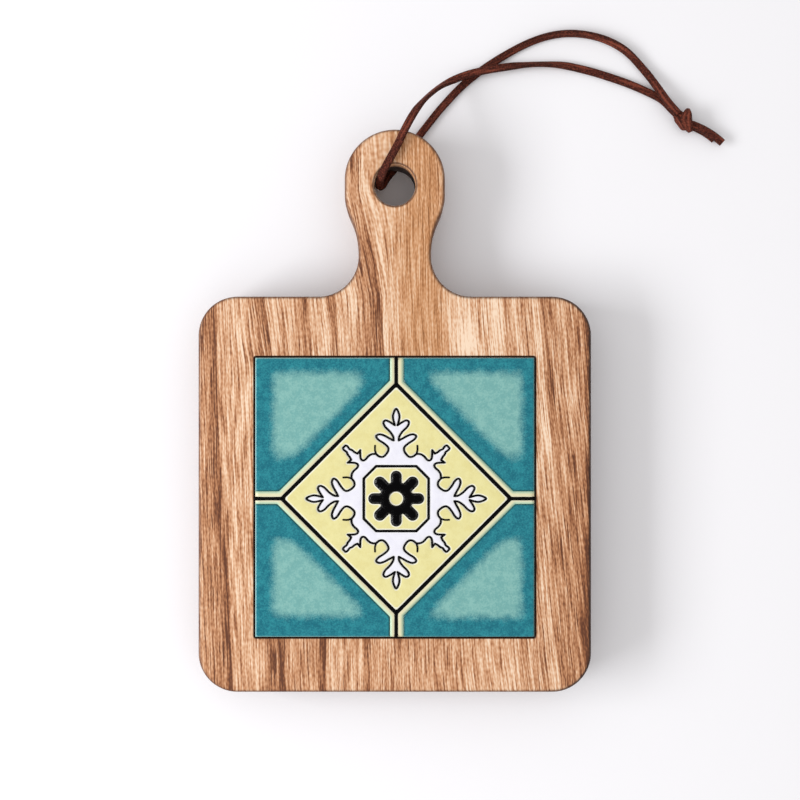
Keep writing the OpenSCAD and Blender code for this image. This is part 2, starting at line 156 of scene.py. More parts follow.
def quads_between(a: np.ndarray, b: np.ndarray) -> np.ndarray:
    """Quads between two closed rings of indices."""
    return np.stack([a, np.roll(a, -1), np.roll(b, -1), b], axis=1)


def fan(ring: np.ndarray, centre: int) -> np.ndarray:
    """Triangles from every side of a closed ring of indices to one centre index."""
    return np.stack([ring, np.roll(ring, -1), np.full(len(ring), centre)], axis=-1)


def rays(angles: np.ndarray) -> np.ndarray:
    """Unit directions at angles in radians, as rows of x and y."""
    return np.stack([np.cos(angles), np.sin(angles)], axis=1)


def circle(count: int) -> np.ndarray:
    """Unit directions spread evenly round a circle."""
    return rays(np.radians(np.arange(count) * (360 / count)))


def lifted(flat: np.ndarray, z: float) -> np.ndarray:
    """Flat points put at one height."""
    return np.column_stack([flat, np.full(len(flat), z)])


def make_piece(
    name: str, surface: Surface, material: Material, weld: float = 0.0005
) -> bpy.types.Object:
    """Turns a surface into an object that rides on the body.

    Args:
        name: the piece's name.
        surface: the surface in millimetres.
        material: what it is made of.
        weld: points nearer than this, in millimetres, become one.

    Returns:
        The object at the origin, with its place in its mesh and its faces outwards.
    """
    mesh = bpy.data.meshes.new(name)
    faces = [row for block in surface.faces for row in block.tolist()]
    mesh.from_pydata(surface.points * MM, [], faces)
    flags = np.concatenate([np.full(len(f), s) for f, s in zip(surface.faces, surface.smooth)])
    mesh.polygons.foreach_set("use_smooth", flags.astype(bool))
    for key, values in surface.values.items():
        store = mesh.attributes.new(key, "FLOAT", "POINT")
        store.data.foreach_set("value", values.astype(np.float32))
    work = bmesh.new()
    work.from_mesh(mesh)
    bmesh.ops.remove_doubles(work, verts=work.verts, dist=weld * MM)
    bmesh.ops.recalc_face_normals(work, faces=work.faces)
    work.to_mesh(mesh)
    work.free()
    mesh.materials.append(material)
    piece = bpy.data.objects.new(name, mesh)
    bpy.context.scene.collection.objects.link(piece)
    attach(piece, BODY)
    LOG.info("%s: %d faces", name, len(mesh.polygons))
    return piece


def curve_through(points: Sequence[Sequence[float]], steps: int) -> np.ndarray:
    """Smooth curve through points: a Catmull-Rom span between each pair.

    A span from b to c, with a before and d after, is at t
    (2b + (c - a)t + (2a - 5b + 4c - d)t^2 + (3b - a - 3c + d)t^3) / 2.

    Args:
        points: the points that it passes, in two or three dimensions.
        steps: parts that each span is cut into.

    Returns:
        (spans * steps + 1, k) points.
    """
    p = np.asarray(points, float)
    padded = np.vstack([p[:1], p, p[-1:]])
    a, b, c, d = (padded[i : i + len(p) - 1, None, :] for i in range(4))
    t = (np.arange(steps) / steps)[None, :, None]
    square, cube = 2 * a - 5 * b + 4 * c - d, 3 * b - a - 3 * c + d
    spans = (2 * b + (c - a) * t + square * t**2 + cube * t**3) / 2
    return np.vstack([spans.reshape(-1, p.shape[1]), p[-1:]])


def headings(path: np.ndarray, closed: bool = False) -> np.ndarray:
    """Unit headings along a path: the way from each point's neighbour before to the one after.

    Args:
        path: (n, k) points.
        closed: whether it returns to its start.

    Returns:
        (n, k) unit headings.
    """
    if closed:
        step = np.roll(path, -1, axis=0) - np.roll(path, 1, axis=0)
    else:
        step = np.gradient(path, axis=0)
    return step / np.linalg.norm(step, axis=1, keepdims=True)


def run_along(path: np.ndarray) -> np.ndarray:
    """Distance along a path from its start to each of its points."""
    return np.concatenate([[0], np.cumsum(np.linalg.norm(np.diff(path, axis=0), axis=1))])


def spaced(path: np.ndarray, step: float) -> np.ndarray:
    """A path's points put back at even distances, measured over its first three columns.

    Args:
        path: (n, k) points.
        step: the distance.

    Returns:
        The new points; the first and the last are kept.
    """
    run = run_along(path[:, :3])
    at = np.linspace(0, run[-1], max(2, int(round(run[-1] / step)) + 1))
    return np.stack([np.interp(at, run, path[:, k]) for k in range(path.shape[1])], axis=1)


def loop_sides(loops: Sequence[np.ndarray]) -> tuple[np.ndarray, np.ndarray]:
    """Where every side of closed loops starts and where it ends."""
    return np.vstack(loops), np.vstack([np.roll(loop, -1, axis=0) for loop in loops])


def batches(points: int, sides: int) -> list[np.ndarray]:
    """Indices of points in batches, each with few enough pairs of a point and a side."""
    return np.array_split(np.arange(points), max(1, points * sides // MOST_PAIRS))


def distance_to_loops(
    points: np.ndarray, loops: Sequence[np.ndarray], leave: Sequence[tuple[int, float]] = ()
) -> np.ndarray:
    """Least distance from each point to the sides of closed loops.

    Each side's nearest point is its start plus the clamped share of the side that the
    point's projection falls at.

    Args:
        points: (n, 2) points.
        loops: closed outlines, each (m, 2).
        leave: sides to leave out, as an axis and the place on it where both ends lie.

    Returns:
        n distances.
    """
    a, b = loop_sides(loops)
    for axis, place in leave:
        keep = (np.abs(a[:, axis] - place) > NEAR) | (np.abs(b[:, axis] - place) > NEAR)
        a, b = a[keep], b[keep]
    side = b - a
    size = np.maximum((side**2).sum(axis=1), TINY)
    found = np.zeros(len(points))
    for part in batches(len(points), len(a)):
        gap = points[part, None, :] - a[None]
        share = np.clip((gap * side).sum(axis=2) / size, 0, 1)
        found[part] = np.sqrt(((gap - share[..., None] * side) ** 2).sum(axis=2).min(axis=1))
    return found


def inside_loops(points: np.ndarray, loops: Sequence[np.ndarray]) -> np.ndarray:
    """Which points lie inside loops: a ray to the right crosses an odd number of sides.

    Args:
        points: (n, 2) points.
        loops: closed outlines, each (m, 2).

    Returns:
        n flags.
    """
    a, b = loop_sides(loops)
    found = np.zeros(len(points), bool)
    rise = np.where(b[:, 1] == a[:, 1], TINY, b[:, 1] - a[:, 1])
    for part in batches(len(points), len(a)):
        x, y = points[part, 0, None], points[part, 1, None]
        spans = (a[None, :, 1] > y) != (b[None, :, 1] > y)
        cross = a[None, :, 0] + (y - a[None, :, 1]) / rise * (b[:, 0] - a[:, 0])
        found[part] = ((spans & (cross > x)).sum(axis=1) % 2) == 1
    return found


def field_between(
    loops: Sequence[np.ndarray], spacing: float, rows: Sequence[float]
) -> tuple[np.ndarray, np.ndarray]:
    """Triangulates the flat area between closed loops.

    Points stand on the loops, in rows at given distances from them, and on a square grid
    over the rest; a constrained Delaunay triangulation joins them. A row's point stays only
    where nothing of the loops comes much nearer to it than its row's distance.

    Args:
        loops: the outline and any openings in it, each (m, 2).
        spacing: distance between the grid's points.
        rows: distances of the rows from the loops.

    Returns:
        (n, 2) points and (m, 3) triangles.
    """
    row_share, grid_share = 0.93, 0.6
    rims, wants = [], []
    for loop in loops:
        ahead = headings(loop, closed=True)
        side = np.stack([ahead[:, 1], -ahead[:, 0]], axis=1)
        for row in rows:
            rims += [loop + side * row, loop - side * row]
            wants += [row] * (2 * len(loop))
    low, high = loops[0].min(axis=0), loops[0].max(axis=0)
    lines = [np.arange(low[k], high[k], spacing) for k in (0, 1)]
    grid = np.stack(np.meshgrid(*lines), -1).reshape(-1, 2)
    keep = []
    if rims:
        rim = np.vstack(rims)
        near = distance_to_loops(rim, loops)
        keep.append(rim[(near > row_share * np.array(wants)) & inside_loops(rim, loops)])
    reach = (rows[-1] if len(rows) else 0) + spacing * grid_share
    keep.append(grid[(distance_to_loops(grid, loops) > reach) & inside_loops(grid, loops)])
    inner = np.vstack(keep)
    points = np.vstack([*loops, inner])
    edges, start = [], 0
    for loop in loops:
        edges += [(start + i, start + (i + 1) % len(loop)) for i in range(len(loop))]
        start += len(loop)
    corners = [Vector(p) for p in points.tolist()]
    verts, _, tris, _, _, _ = delaunay_2d_cdt(corners, edges, [], 0, NEAR)
    flat = np.array([(v.x, v.y) for v in verts])
    faces = np.array(tris)
    middle = flat[faces].mean(axis=1)
    return flat, faces[inside_loops(middle, loops)]


def quarter_turns() -> list[np.ndarray]:
    """The four turns about Z by quarters, clockwise, for points in rows."""
    step = np.array([[0.0, -1.0], [1.0, 0.0]])
    return [np.linalg.matrix_power(step, k) for k in range(4)]


def dense(loop: np.ndarray, step: float) -> np.ndarray:
    """A closed outline with points put in along its sides, about one step apart.

    Args:
        loop: (n, 2) corners.
        step: the distance.

    Returns:
        (m, 2) points, every corner among them.
    """
    parts = []
    for a, b in zip(loop, np.roll(loop, -1, axis=0)):
        count = max(1, int(round(np.linalg.norm(b - a) / step)))
        parts.append(a + (b - a) * (np.arange(count) / count)[:, None])
    return np.vstack(parts)


# ---------------------------------------------------------------- shader nodes


class Tree:
    """Short ways to place and join the nodes of one shader tree."""

    def __init__(self, tree: bpy.types.NodeTree) -> None:
        """Keeps the tree that the nodes go into."""
        self.tree = tree

    def node(self, kind: str, **settings: object) -> bpy.types.Node:
        """Places a node of a kind and sets its properties.

        Args:
            kind: the node's type.
            **settings: properties by name.

        Returns:
            The node.
        """
        made = self.tree.nodes.new(kind)
        for key, value in settings.items():
            setattr(made, key, value)
        return made

    def put(self, socket: Socket, value: object) -> None:
        """Links a socket's source to it, or sets its own value.

        Args:
            socket: the input.
            value: a socket or a value.
        """
        if isinstance(value, Socket):
            self.tree.links.new(value, socket)
        else:
            socket.default_value = value

    def fill(self, node: bpy.types.Node, **values: object) -> bpy.types.Node:
        """Fills a node's inputs, with _ for a space in their names, and returns the node.

        Args:
            node: the node.
            **values: values or sockets by the input's name.

        Returns:
            The node.
        """
        for key, value in values.items():
            self.put(node.inputs[key.replace("_", " ")], value)
        return node

    def math(self, operation: str, a: object, b: object = 0.0, clamp: bool = False) -> Socket:
        """One sum on two values.

        Args:
            operation: the Math node's operation.
            a: first value or socket.
            b: second value or socket.
            clamp: whether the result stays from 0 to 1.

        Returns:
            The result's socket.
        """
        made = self.node("ShaderNodeMath", operation=operation, use_clamp=clamp)
        self.put(made.inputs[0], a)
        self.put(made.inputs[1], b)
        return made.outputs[0]

    def add(self, *values: object, clamp: bool = False) -> Socket:
        """The sum of two or more values; clamp keeps it from 0 to 1.

        Args:
            *values: values or sockets.
            clamp: whether the sum stays from 0 to 1.

        Returns:
            The result's socket.
        """
        total = values[0]
        for value in values[1:-1]:
            total = self.math("ADD", total, value)
        return self.math("ADD", total, values[-1], clamp)

    def times(self, *values: object) -> Socket:
        """The product of two or more values.

        Args:
            *values: values or sockets.

        Returns:
            The result's socket.
        """
        total = values[0]
        for value in values[1:]:
            total = self.math("MULTIPLY", total, value)
        return total

    def less(self, a: object, b: object) -> Socket:
        """What is left of a value when another is taken from it."""
        return self.math("SUBTRACT", a, b)

    def held(self, value: object, low: float, high: float) -> Socket:
        """A value held between two limits."""
        return self.math("MAXIMUM", self.math("MINIMUM", value, high), low)

    def centred(self, value: object, gain: object) -> Socket:
        """A value that lies around 0.5, moved to lie around 0 and multiplied by a gain."""
        return self.times(self.less(value, 0.5), gain)

    def rise(
        self, value: object, low: float, high: float, to_low: float = 0.0, to_high: float = 1.0
    ) -> Socket:
        """A smooth step between two values.

        Args:
            value: what is read.
            low: where the step starts.
            high: where it ends.
            to_low: result before it.
            to_high: result after it.

        Returns:
            The result's socket.
        """
        made = self.node("ShaderNodeMapRange", interpolation_type="SMOOTHSTEP")
        self.put(made.inputs[0], value)
        for slot, number in zip((1, 2, 3, 4), (low, high, to_low, to_high)):
            made.inputs[slot].default_value = number
        return made.outputs[0]

    def mix(self, share: object, a: object, b: object) -> Socket:
        """Mixes two colours.

        Args:
            share: how much of the second one shows.
            a: first colour or socket.
            b: second colour or socket.

        Returns:
            The colour's socket.
        """
        made = self.node("ShaderNodeMix", data_type="RGBA")
        for slot, value in zip((0, 6, 7), (share, a, b)):
            self.put(made.inputs[slot], value)
        return made.outputs[2]

    def layered(self, colour: object, *layers: tuple[object, str]) -> Socket:
        """Lays colours over a first one in order, each given as its mask and its code.

        Args:
            colour: the first colour or socket.
            *layers: a mask and a colour's code each.

        Returns:
            The colour's socket.
        """
        for mask, code in layers:
            colour = self.mix(mask, colour, rgb(code))
        return colour

    def noise(
        self, vector: object, scale: float = 1.0, detail: float = 2.0, rough: float = 0.5
    ) -> Socket:
        """Cloudy noise around 0.5, read at a vector.

        Args:
            vector: where it is read.
            scale: how fine it is.
            detail: its finer layers.
            rough: their strength.

        Returns:
            The result's socket.
        """
        made = self.node("ShaderNodeTexNoise")
        self.fill(made, Vector=vector, Scale=scale, Detail=detail, Roughness=rough)
        return made.outputs[0]

    def vector(self, x: object, y: object, z: object) -> Socket:
        """Joins three values into a vector.

        Args:
            x: value or socket.
            y: value or socket.
            z: value or socket.

        Returns:
            The vector's socket.
        """
        made = self.node("ShaderNodeCombineXYZ")
        for socket, value in zip(made.inputs, (x, y, z)):
            self.put(socket, value)
        return made.outputs[0]

    def split(self, vector: object) -> tuple[Socket, ...]:
        """The three parts of a vector.

        Args:
            vector: the vector's socket.

        Returns:
            The sockets of x, y and z.
        """
        made = self.node("ShaderNodeSeparateXYZ")
        self.put(made.inputs[0], vector)
        return tuple(made.outputs)

    def ramp(self, value: object, stops: Sequence[tuple[float, object]]) -> Socket:
        """A colour ramp with straight slopes.

        Args:
            value: where on the ramp to read, from 0 to 1.
            stops: places with a grey value or a colour each, 32 at most.

        Returns:
            The colour's socket.
        """
        made = self.node("ShaderNodeValToRGB")
        marks = made.color_ramp.elements
        while len(marks) > 1:
            marks.remove(marks[-1])
        for index, (place, shade) in enumerate(stops):
            mark = marks[0] if index == 0 else marks.new(place)
            mark.position = place
            mark.color = shade if isinstance(shade, tuple) else (shade, shade, shade, 1.0)
        self.put(made.inputs[0], value)
        return made.outputs[0]

    def read(self, name: str) -> Socket:
        """A named value that the mesh carries at its points."""
        return self.node("ShaderNodeAttribute", attribute_name=name).outputs["Fac"]

    def place(self) -> Socket:
        """Object coordinates in millimetres.

        Returns:
            The vector's socket.
        """
        made = self.node("ShaderNodeMapping")
        coordinates = self.node("ShaderNodeTexCoord").outputs["Object"]
        self.fill(made, Vector=coordinates, Scale=(1 / MM, 1 / MM, 1 / MM))
        return made.outputs[0]

    def bump(self, height: object, depth: float) -> Socket:
        """A bump of a depth in metres under a height from 0 to 1.

        Args:
            height: the height's socket.
            depth: the depth.

        Returns:
            The normal's socket.
        """
        made = self.node("ShaderNodeBump")
        self.fill(made, Strength=1.0, Distance=depth, Height=height)
        return made.outputs[0]

    def use(self, group: bpy.types.NodeTree, **values: object) -> bpy.types.Node:
        """Places a node group and fills its inputs, with _ for a space in their names."""
        return self.fill(self.node("ShaderNodeGroup", node_tree=group), **values)


def rgb(code: str) -> tuple[float, float, float, float]:
    """A linear colour from its sRGB code.

    Each part is divided by 12.92 up to 0.04045, and is ((v + 0.055) / 1.055)^2.4 above.

    Args:
        code: the code, as #RRGGBB.

    Returns:
        Red, green, blue and an alpha of 1.
    """
    parts = [int(code[i : i + 2], 16) / 255 for i in (1, 3, 5)]
    line = [v / 12.92 if v <= 0.04045 else ((v + 0.055) / 1.055) ** 2.4 for v in parts]
    return (line[0], line[1], line[2], 1.0)


class Kind(Enum):
    """Kinds of value that a node group takes or gives."""

    VALUE = "NodeSocketFloat"
    VECTOR = "NodeSocketVector"


def new_group(
    name: str, takes: dict[str, Kind], gives: dict[str, Kind]
) -> tuple[Tree, dict[str, Socket], bpy.types.Node]:
    """Starts a node group.

    Args:
        name: its name.
        takes: its inputs by name.
        gives: its outputs by name.

    Returns:
        The tree, its input sockets by name, and the node that takes its results.
    """
    tree = bpy.data.node_groups.new(name, "ShaderNodeTree")
    for key, kind in takes.items():
        tree.interface.new_socket(name=key, in_out="INPUT", socket_type=kind.value)
    for key, kind in gives.items():
        tree.interface.new_socket(name=key, in_out="OUTPUT", socket_type=kind.value)
    start = tree.nodes.new("NodeGroupInput")
    end = tree.nodes.new("NodeGroupOutput")
    return Tree(tree), {key: start.outputs[key] for key in takes}, end


def ripple_group() -> bpy.types.NodeTree:
    """Unevenness of a hand-poured glaze: a slow swell with a fine orange peel on it.

    Returns:
        The group.
    """
    takes = {"Vector": Kind.VECTOR, "Peel": Kind.VALUE}
    t, given, end = new_group("Ripple", takes, {"Height": Kind.VALUE})
    swell = t.noise(given["Vector"], 0.22, 2.0, 0.5)
    peel = t.noise(given["Vector"], 2.2, 2.0, 0.6)
    t.put(end.inputs["Height"], t.add(swell, t.times(peel, given["Peel"])))
    return t.tree


def speckle_group() -> bpy.types.NodeTree:
    """Mottling: a cloudy mask with grains in it, from 0 to 1 around 0.5.

    Returns:
        The group.
    """
    takes = {"Vector": Kind.VECTOR, "Grain": Kind.VALUE}
    t, given, end = new_group("Speckle", takes, {"Mask": Kind.VALUE})
    cloud = t.noise(given["Vector"], 0.28, 4.0, 0.6)
    grain = t.noise(given["Vector"], 1.5, 3.0, 0.7)
    t.put(end.inputs["Mask"], t.add(cloud, t.centred(grain, given["Grain"]), clamp=True))
    return t.tree


def grain_group() -> bpy.types.NodeTree:
    """Streaks along a grain, at three widths, and the dark dashes of its pores.

    Flow is across the grain, Run along it and Deep down through the wood, all in mm.

    Returns:
        The group.
    """
    takes = {"Flow": Kind.VALUE, "Run": Kind.VALUE, "Deep": Kind.VALUE}
    gives = {"Streak": Kind.VALUE, "Fibre": Kind.VALUE, "Pore": Kind.VALUE}
    t, given, end = new_group("Grain", takes, gives)

    def layer(across: float, along: float, detail: float, rough: float) -> Socket:
        """Noise with its own stretch across and along the grain.

        Args:
            across: scale across the grain.
            along: scale along it.
            detail: its finer layers.
            rough: their strength.

        Returns:
            The result's socket.
        """
        place = t.vector(
            t.times(given["Flow"], across),
            t.times(given["Run"], along),
            t.times(given["Deep"], across * 0.4),
        )
        return t.noise(place, 1.0, detail, rough)

    t.put(end.inputs["Streak"], layer(0.6, 0.012, 2.0, 0.6))
    hairs = t.times(layer(2.4, 0.07, 0.0, 0.5), 0.65)
    dashes = t.times(layer(2.2, 0.7, 0.0, 0.5), 0.35)
    t.put(end.inputs["Fibre"], t.add(hairs, dashes))
    t.put(end.inputs["Pore"], t.rise(layer(2.0, 0.09, 0.0, 0.5), 0.58, 0.66))
    return t.tree


@dataclass(frozen=True)
class Groups:
    """The node groups that several finishes share."""

    ripple: bpy.types.NodeTree
    speckle: bpy.types.NodeTree
    grain: bpy.types.NodeTree

    def mottle(self, t: Tree, place: Socket, grain: float) -> Socket:
        """The speckle group's mask, read at a place, with so much grain."""
        return t.use(self.speckle, Vector=place, Grain=grain).outputs["Mask"]

    def uneven(self, t: Tree, place: Socket, peel: float, depth: float) -> Socket:
        """The ripple group as a bump of a depth in metres, with so much orange peel."""
        return t.bump(t.use(self.ripple, Vector=place, Peel=peel).outputs["Height"], depth)


def new_material(name: str) -> tuple[Material, Tree, bpy.types.Node]:
    """Starts a material.

    Args:
        name: its name.

    Returns:
        The material, its tree and its Principled BSDF.
    """
    material = bpy.data.materials.new(name)
    material.use_nodes = True
    tree = Tree(material.node_tree)
    return material, tree, material.node_tree.nodes["Principled BSDF"]


# ---------------------------------------------------------------- finishes


@dataclass(frozen=True)
class WoodFinish:
    """Light streaky wood, oiled: bands across the board, fibres and pores along it."""

    light: str = "#F9DDC1"
    fair: str = "#E6B994"
    middle: str = "#C88F66"
    dark: str = "#99603B"
    deep: str = "#64371F"
    amber: str = "#CF9256"
    burnt: str = "#52301F"
    # Charred wood, and painted shade on the right edge and in the hole and recess
    char_and_shade: str = "#2E180C"
    # The ramps below reach so far to both sides of the middle, in mm
    half: float = 72.0
    # How far the grain leans near the handle, by the place across the board in mm
    tilts: tuple[tuple[float, float], ...] = (
        (-70, 0.0), (-60, 0.03), (-52, 0.1), (-47, 0.15), (-41, 0.08), (-34, 0.03), (-24, 0.1),
        (-16, 0.0), (70, 0.0),
    )
    # Bands near the handle: place across the board in mm, and how dark
    upper: tuple[tuple[float, float], ...] = (
        (-70, 0.45), (-67, 0.62), (-65, 0.85), (-64.2, 0.3), (-56, 0.14), (-52, 0.36),
        (-46.4, 0.72), (-45.6, 0.18), (-38, 0.22), (-34, 0.44), (-31.4, 0.72), (-30.8, 0.08),
        (-24.6, 0.1), (-23.4, 0.6), (-21.4, 0.62), (-20.8, 0.12), (-14.6, 0.16), (-10, 0.52),
        (-5, 0.72), (-4, 0.14), (17, 0.2), (20, 0.04), (29, 0.02), (30.4, 0.2), (38.4, 0.08),
        (39.8, 0.34), (44.4, 0.15), (46.4, 0.34), (51.4, 0.02), (52.4, 0.48), (60, 0.36),
        (70, 0.5),
    )
    # Bands at the lower end
    lower: tuple[tuple[float, float], ...] = (
        (-70, 0.45), (-65, 0.5), (-61, 0.65), (-59.6, 0.9), (-58.8, 0.25), (-52, 0.32),
        (-48, 0.55), (-44, 0.7), (-40.8, 0.85), (-40, 0.34), (-36.4, 0.36), (-35.4, 0.6),
        (-34.6, 0.3), (-30.4, 0.42), (-26.6, 0.88), (-26, 0.2), (-19.6, 0.22), (-18.2, 0.68),
        (-17.6, 0.24), (-12.4, 0.3), (-9.4, 0.72), (-8.8, 0.34), (5, 0.42), (20, 0.36),
        (44, 0.22), (47, 0.45), (50, 0.26), (54.6, 0.45), (55.4, 0.2), (61, 0.46), (67, 0.55),
        (70, 0.6),
    )

    def build(self, groups: Groups) -> Material:
        """Builds the material.

        The place across the grain is x plus a slant times the height along the board. The
        slant grows to the right, and the grain leans outwards again in the handle. Bands are
        read there from two ramps, one for the handle's end and one for the lower end, and
        streaks, fibres and pores are added to them. All lengths are in mm.

        Args:
            groups: the shared node groups.

        Returns:
            The material.
        """
        material, t, shader = new_material("wood")
        place = t.place()
        x, y, z = t.split(place)

        def profile(across: Socket, stops: tuple[tuple[float, float], ...]) -> Socket:
            """Reads values that are given by their place across the board."""
            share = t.math("DIVIDE", t.add(across, self.half), 2 * self.half)
            return t.ramp(share, [((at + self.half) / (2 * self.half), v) for at, v in stops])

        # The place across the grain, for the handle's end and for the lower end
        slow = t.centred(t.noise(place, 0.03, 1.0), 1.6)
        drift = t.add(slow, t.times(t.less(z, 17.0), 0.35))
        slant = t.rise(x, 5.0, 52.0, 0.03, 0.095)
        near = t.times(t.held(t.less(y, 35.0), -18.0, 16.0), profile(x, self.tilts))
        lean = t.times(t.held(t.less(y, 41.0), 0.0, 38.0), t.rise(x, 4.0, -12.0, 0.0, 0.17))
        bend = t.add(lean, near, drift)
        top = t.add(x, t.times(slant, t.less(y, 35.0)), bend)
        foot = t.add(x, t.times(slant, t.add(y, 91.0)), bend)
        # The bands; the darkest seams are darker still than the ramps make them
        band = t.mix(t.rise(y, 0.0, -60.0), profile(top, self.upper), profile(foot, self.lower))
        seam = t.math("MAXIMUM", t.less(band, 0.55), 0.0)
        band = t.add(band, t.times(seam, 0.7))
        # They fade in the head, and on the left they are weaker on darker ground
        band = t.times(band, t.rise(y, 56.0, 76.0, 1.0, 0.6))
        grain = t.use(groups.grain, Flow=top, Run=y, Deep=z)
        streak, fibre, pore = (grain.outputs[name] for name in ("Streak", "Fibre", "Pore"))
        pores = t.times(pore, t.add(t.times(band, 0.15), 0.2))
        ground = t.rise(x, -40.0, 25.0, 0.13, 0.02)
        band = t.add(t.times(band, t.rise(x, -40.0, 25.0, 0.72, 1.0)), ground)
        # Amber heartwood runs down from the middle of the handle and fades half way
        warm = t.times(t.rise(top, -6.0, 8.0), t.rise(top, 24.0, 14.0), t.rise(y, -10.0, 30.0))
        # The head's right flank is a little darker, and the last few mm before the board's right
        # edge are painted shade, darker towards it
        flank = t.times(t.rise(y, 50.0, 75.0, 0.0, 0.12), t.rise(x, 3.0, 10.0))
        right_shade = t.rise(x, 66.5, 70.4, 0.0, 0.3)
        base = t.add(band, pores, t.times(warm, 0.2), flank, right_shade, 0.02)
        tone = t.add(base, t.centred(streak, 0.35), t.centred(fibre, 1.55), clamp=True)
        shades = (self.light, self.fair, self.middle, self.dark, self.deep)
        colour = t.ramp(tone, [(k / 4, rgb(shade)) for k, shade in enumerate(shades)])
        # Rounded edges are burnt, and the charring that grows towards the right edge is painted
        # shade; the dark walls of the hole and recess are charred wood and painted shade
        rim = t.read("rim")
        worn = t.add(rim, t.centred(fibre, 0.3))
        colour = t.layered(
            colour,
            (t.times(warm, 0.3), self.amber),
            (t.rise(worn, 0.15, 0.9, 0.0, 0.85), self.burnt),
            # Painted shade: more charring towards the right edge
            (t.times(t.rise(worn, 0.1, 0.7), t.rise(x, 45.0, 69.0, 0.0, 0.8)), self.char_and_shade),
            # Charred wood and painted shade on the walls of the hole and recess
            (t.rise(rim, 1.1, 1.6), self.char_and_shade),
        )
        relief = t.less(t.times(fibre, 0.5), t.times(pore, 0.25))
        t.fill(
            shader, Base_Color=colour, Roughness=t.add(t.times(fibre, 0.25), 0.42),
            Specular_IOR_Level=0.35, Normal=t.bump(relief, 0.00008),
        )
        return material


@dataclass(frozen=True)
class GlazeFinish:
    """A poured glaze: its own colour, a second one in mottles, and its rim.

    rim_w is how far in the rim's colour reaches, in mm; the rim is a painted highlight along the
    pool's sides. verge, where it is given, is the colour that the glaze takes from the pool beside
    it.
    """

    name: str
    colour: str
    second: str
    rim: str
    rim_w: float = 0.6
    mottle: float = 0.35
    rough: float = 0.2
    verge: str = ""

    def build(self, groups: Groups) -> Material:
        """Builds the material: the rim follows the pool's own distance from its sides.

        Args:
            groups: the shared node groups.

        Returns:
            The material.
        """
        material, t, shader = new_material(self.name)
        place = t.place()
        second = t.times(t.rise(groups.mottle(t, place, 0.5), 0.35, 0.7), self.mottle)
        # The rim is painted highlight along the pool's sides
        rim = t.rise(t.read("inset"), self.rim_w * 0.35, self.rim_w, 1.0, 0.0)
        colour = t.layered(rgb(self.colour), (second, self.second), (rim, self.rim))
        if self.verge:
            verge = t.rise(t.read("verge"), 0.15, 1.3, 1.0, 0.0)
            colour = t.layered(colour, (verge, self.verge))
        t.fill(
            shader, Base_Color=colour, Roughness=self.rough, Specular_IOR_Level=0.35,
            Coat_Weight=0.1, Coat_Roughness=0.06, Normal=groups.uneven(t, place, 0.12, 0.00016),
        )
        return material


@dataclass(frozen=True)
class TealFinish:
    """The corner pools: deep teal round a pale, mottled heart, with a pale outer rim of painted
    highlight and a thin line of painted shade along the strips.
    """

    deep: str = "#2B8C97"
    dark: str = "#10697A"
    pale: str = "#88BCB5"
    cool: str = "#74ADA9"
    # The thin dark line along the strips is painted shade
    line: str = "#0E4A4A"
    # The pale outer rim at the tile's edge is painted highlight
    rim: str = "#93C9C8"

    def build(self, groups: Groups) -> Material:
        """Builds the material: the heart shows where the pool's depth value is high.

        Args:
            groups: the shared node groups.

        Returns:
            The material.
        """
        material, t, shader = new_material("teal_glaze")
        place = t.place()
        mask = groups.mottle(t, place, 1.1)
        spray = t.centred(t.noise(place, 2.4, 2.0, 0.7), 3.4)
        cloud = t.centred(t.noise(place, 0.35, 2.0, 0.5), 2.6)
        grit = t.rise(t.add(mask, t.times(spray, 0.2)), 0.25, 0.8)
        heart = t.mix(t.rise(mask, 0.35, 0.7), rgb(self.cool), rgb(self.pale))
        reach = t.rise(t.add(t.read("depth"), spray, cloud), -1.6, 2.6)
        # The pale rim at the tile's edge is painted highlight, and fades towards the right
        fade = t.rise(t.split(place)[0], -20.0, 40.0, 1.0, 0.3)
        colour = t.layered(
            t.mix(reach, t.layered(rgb(self.dark), (grit, self.deep)), heart),
            # Painted shade: a thin dark line where the raised strips meet the pool
            (t.rise(t.read("inset"), 0.2, 0.75, 0.75, 0.0), self.line),
            # Painted highlight: the pale rim at the tile's edge
            (t.times(t.rise(t.read("outer"), 0.12, 0.42, 0.8, 0.0), fade), self.rim),
        )
        t.fill(
            shader, Base_Color=colour, Roughness=t.add(t.times(mask, 0.1), 0.16),
            Specular_IOR_Level=0.22, Coat_Weight=0.06, Coat_Roughness=0.06,
            Normal=groups.uneven(t, place, 0.15, 0.0002),
        )
        return material


@dataclass(frozen=True)
class BlackFinish:
    """The black relief: dull on the thin lines, glossy on the thick flower.

    peel is the share of fine orange peel in its ripples, which are depth metres deep.
    flank is the gloss added in broken streaks on the flanks of the flower's domes, where
    the crown value, their height as a share of the flower's, is from 0.3 to 0.84.
    """

    name: str
    gloss: float
    rough: float
    peel: float
    flank: float = 0.0
    depth: float = 0.00012
    colour: str = "#020202"
    second: str = "#0A090C"

    def build(self, groups: Groups) -> Material:
        """Builds the material.

        Args:
            groups: the shared node groups.

        Returns:
            The material.
        """
        material, t, shader = new_material(self.name)
        place = t.place()
        mask = groups.mottle(t, place, 0.8)
        gloss: object = self.gloss
        if self.flank:
            crown = t.read("crown")
            broken = t.rise(t.noise(place, 0.8, 2.0, 0.6), 0.42, 0.58, 0.15, 1.0)
            steep = t.times(t.rise(crown, 0.84, 0.7), broken, t.rise(crown, 0.3, 0.46))
            gloss = t.add(t.times(steep, self.flank), self.gloss)
        t.fill(
            shader, Base_Color=t.mix(mask, rgb(self.colour), rgb(self.second)),
            Roughness=t.add(t.times(mask, 0.1), self.rough), Specular_IOR_Level=gloss,
            Normal=groups.uneven(t, place, self.peel, self.depth),
        )
        return material


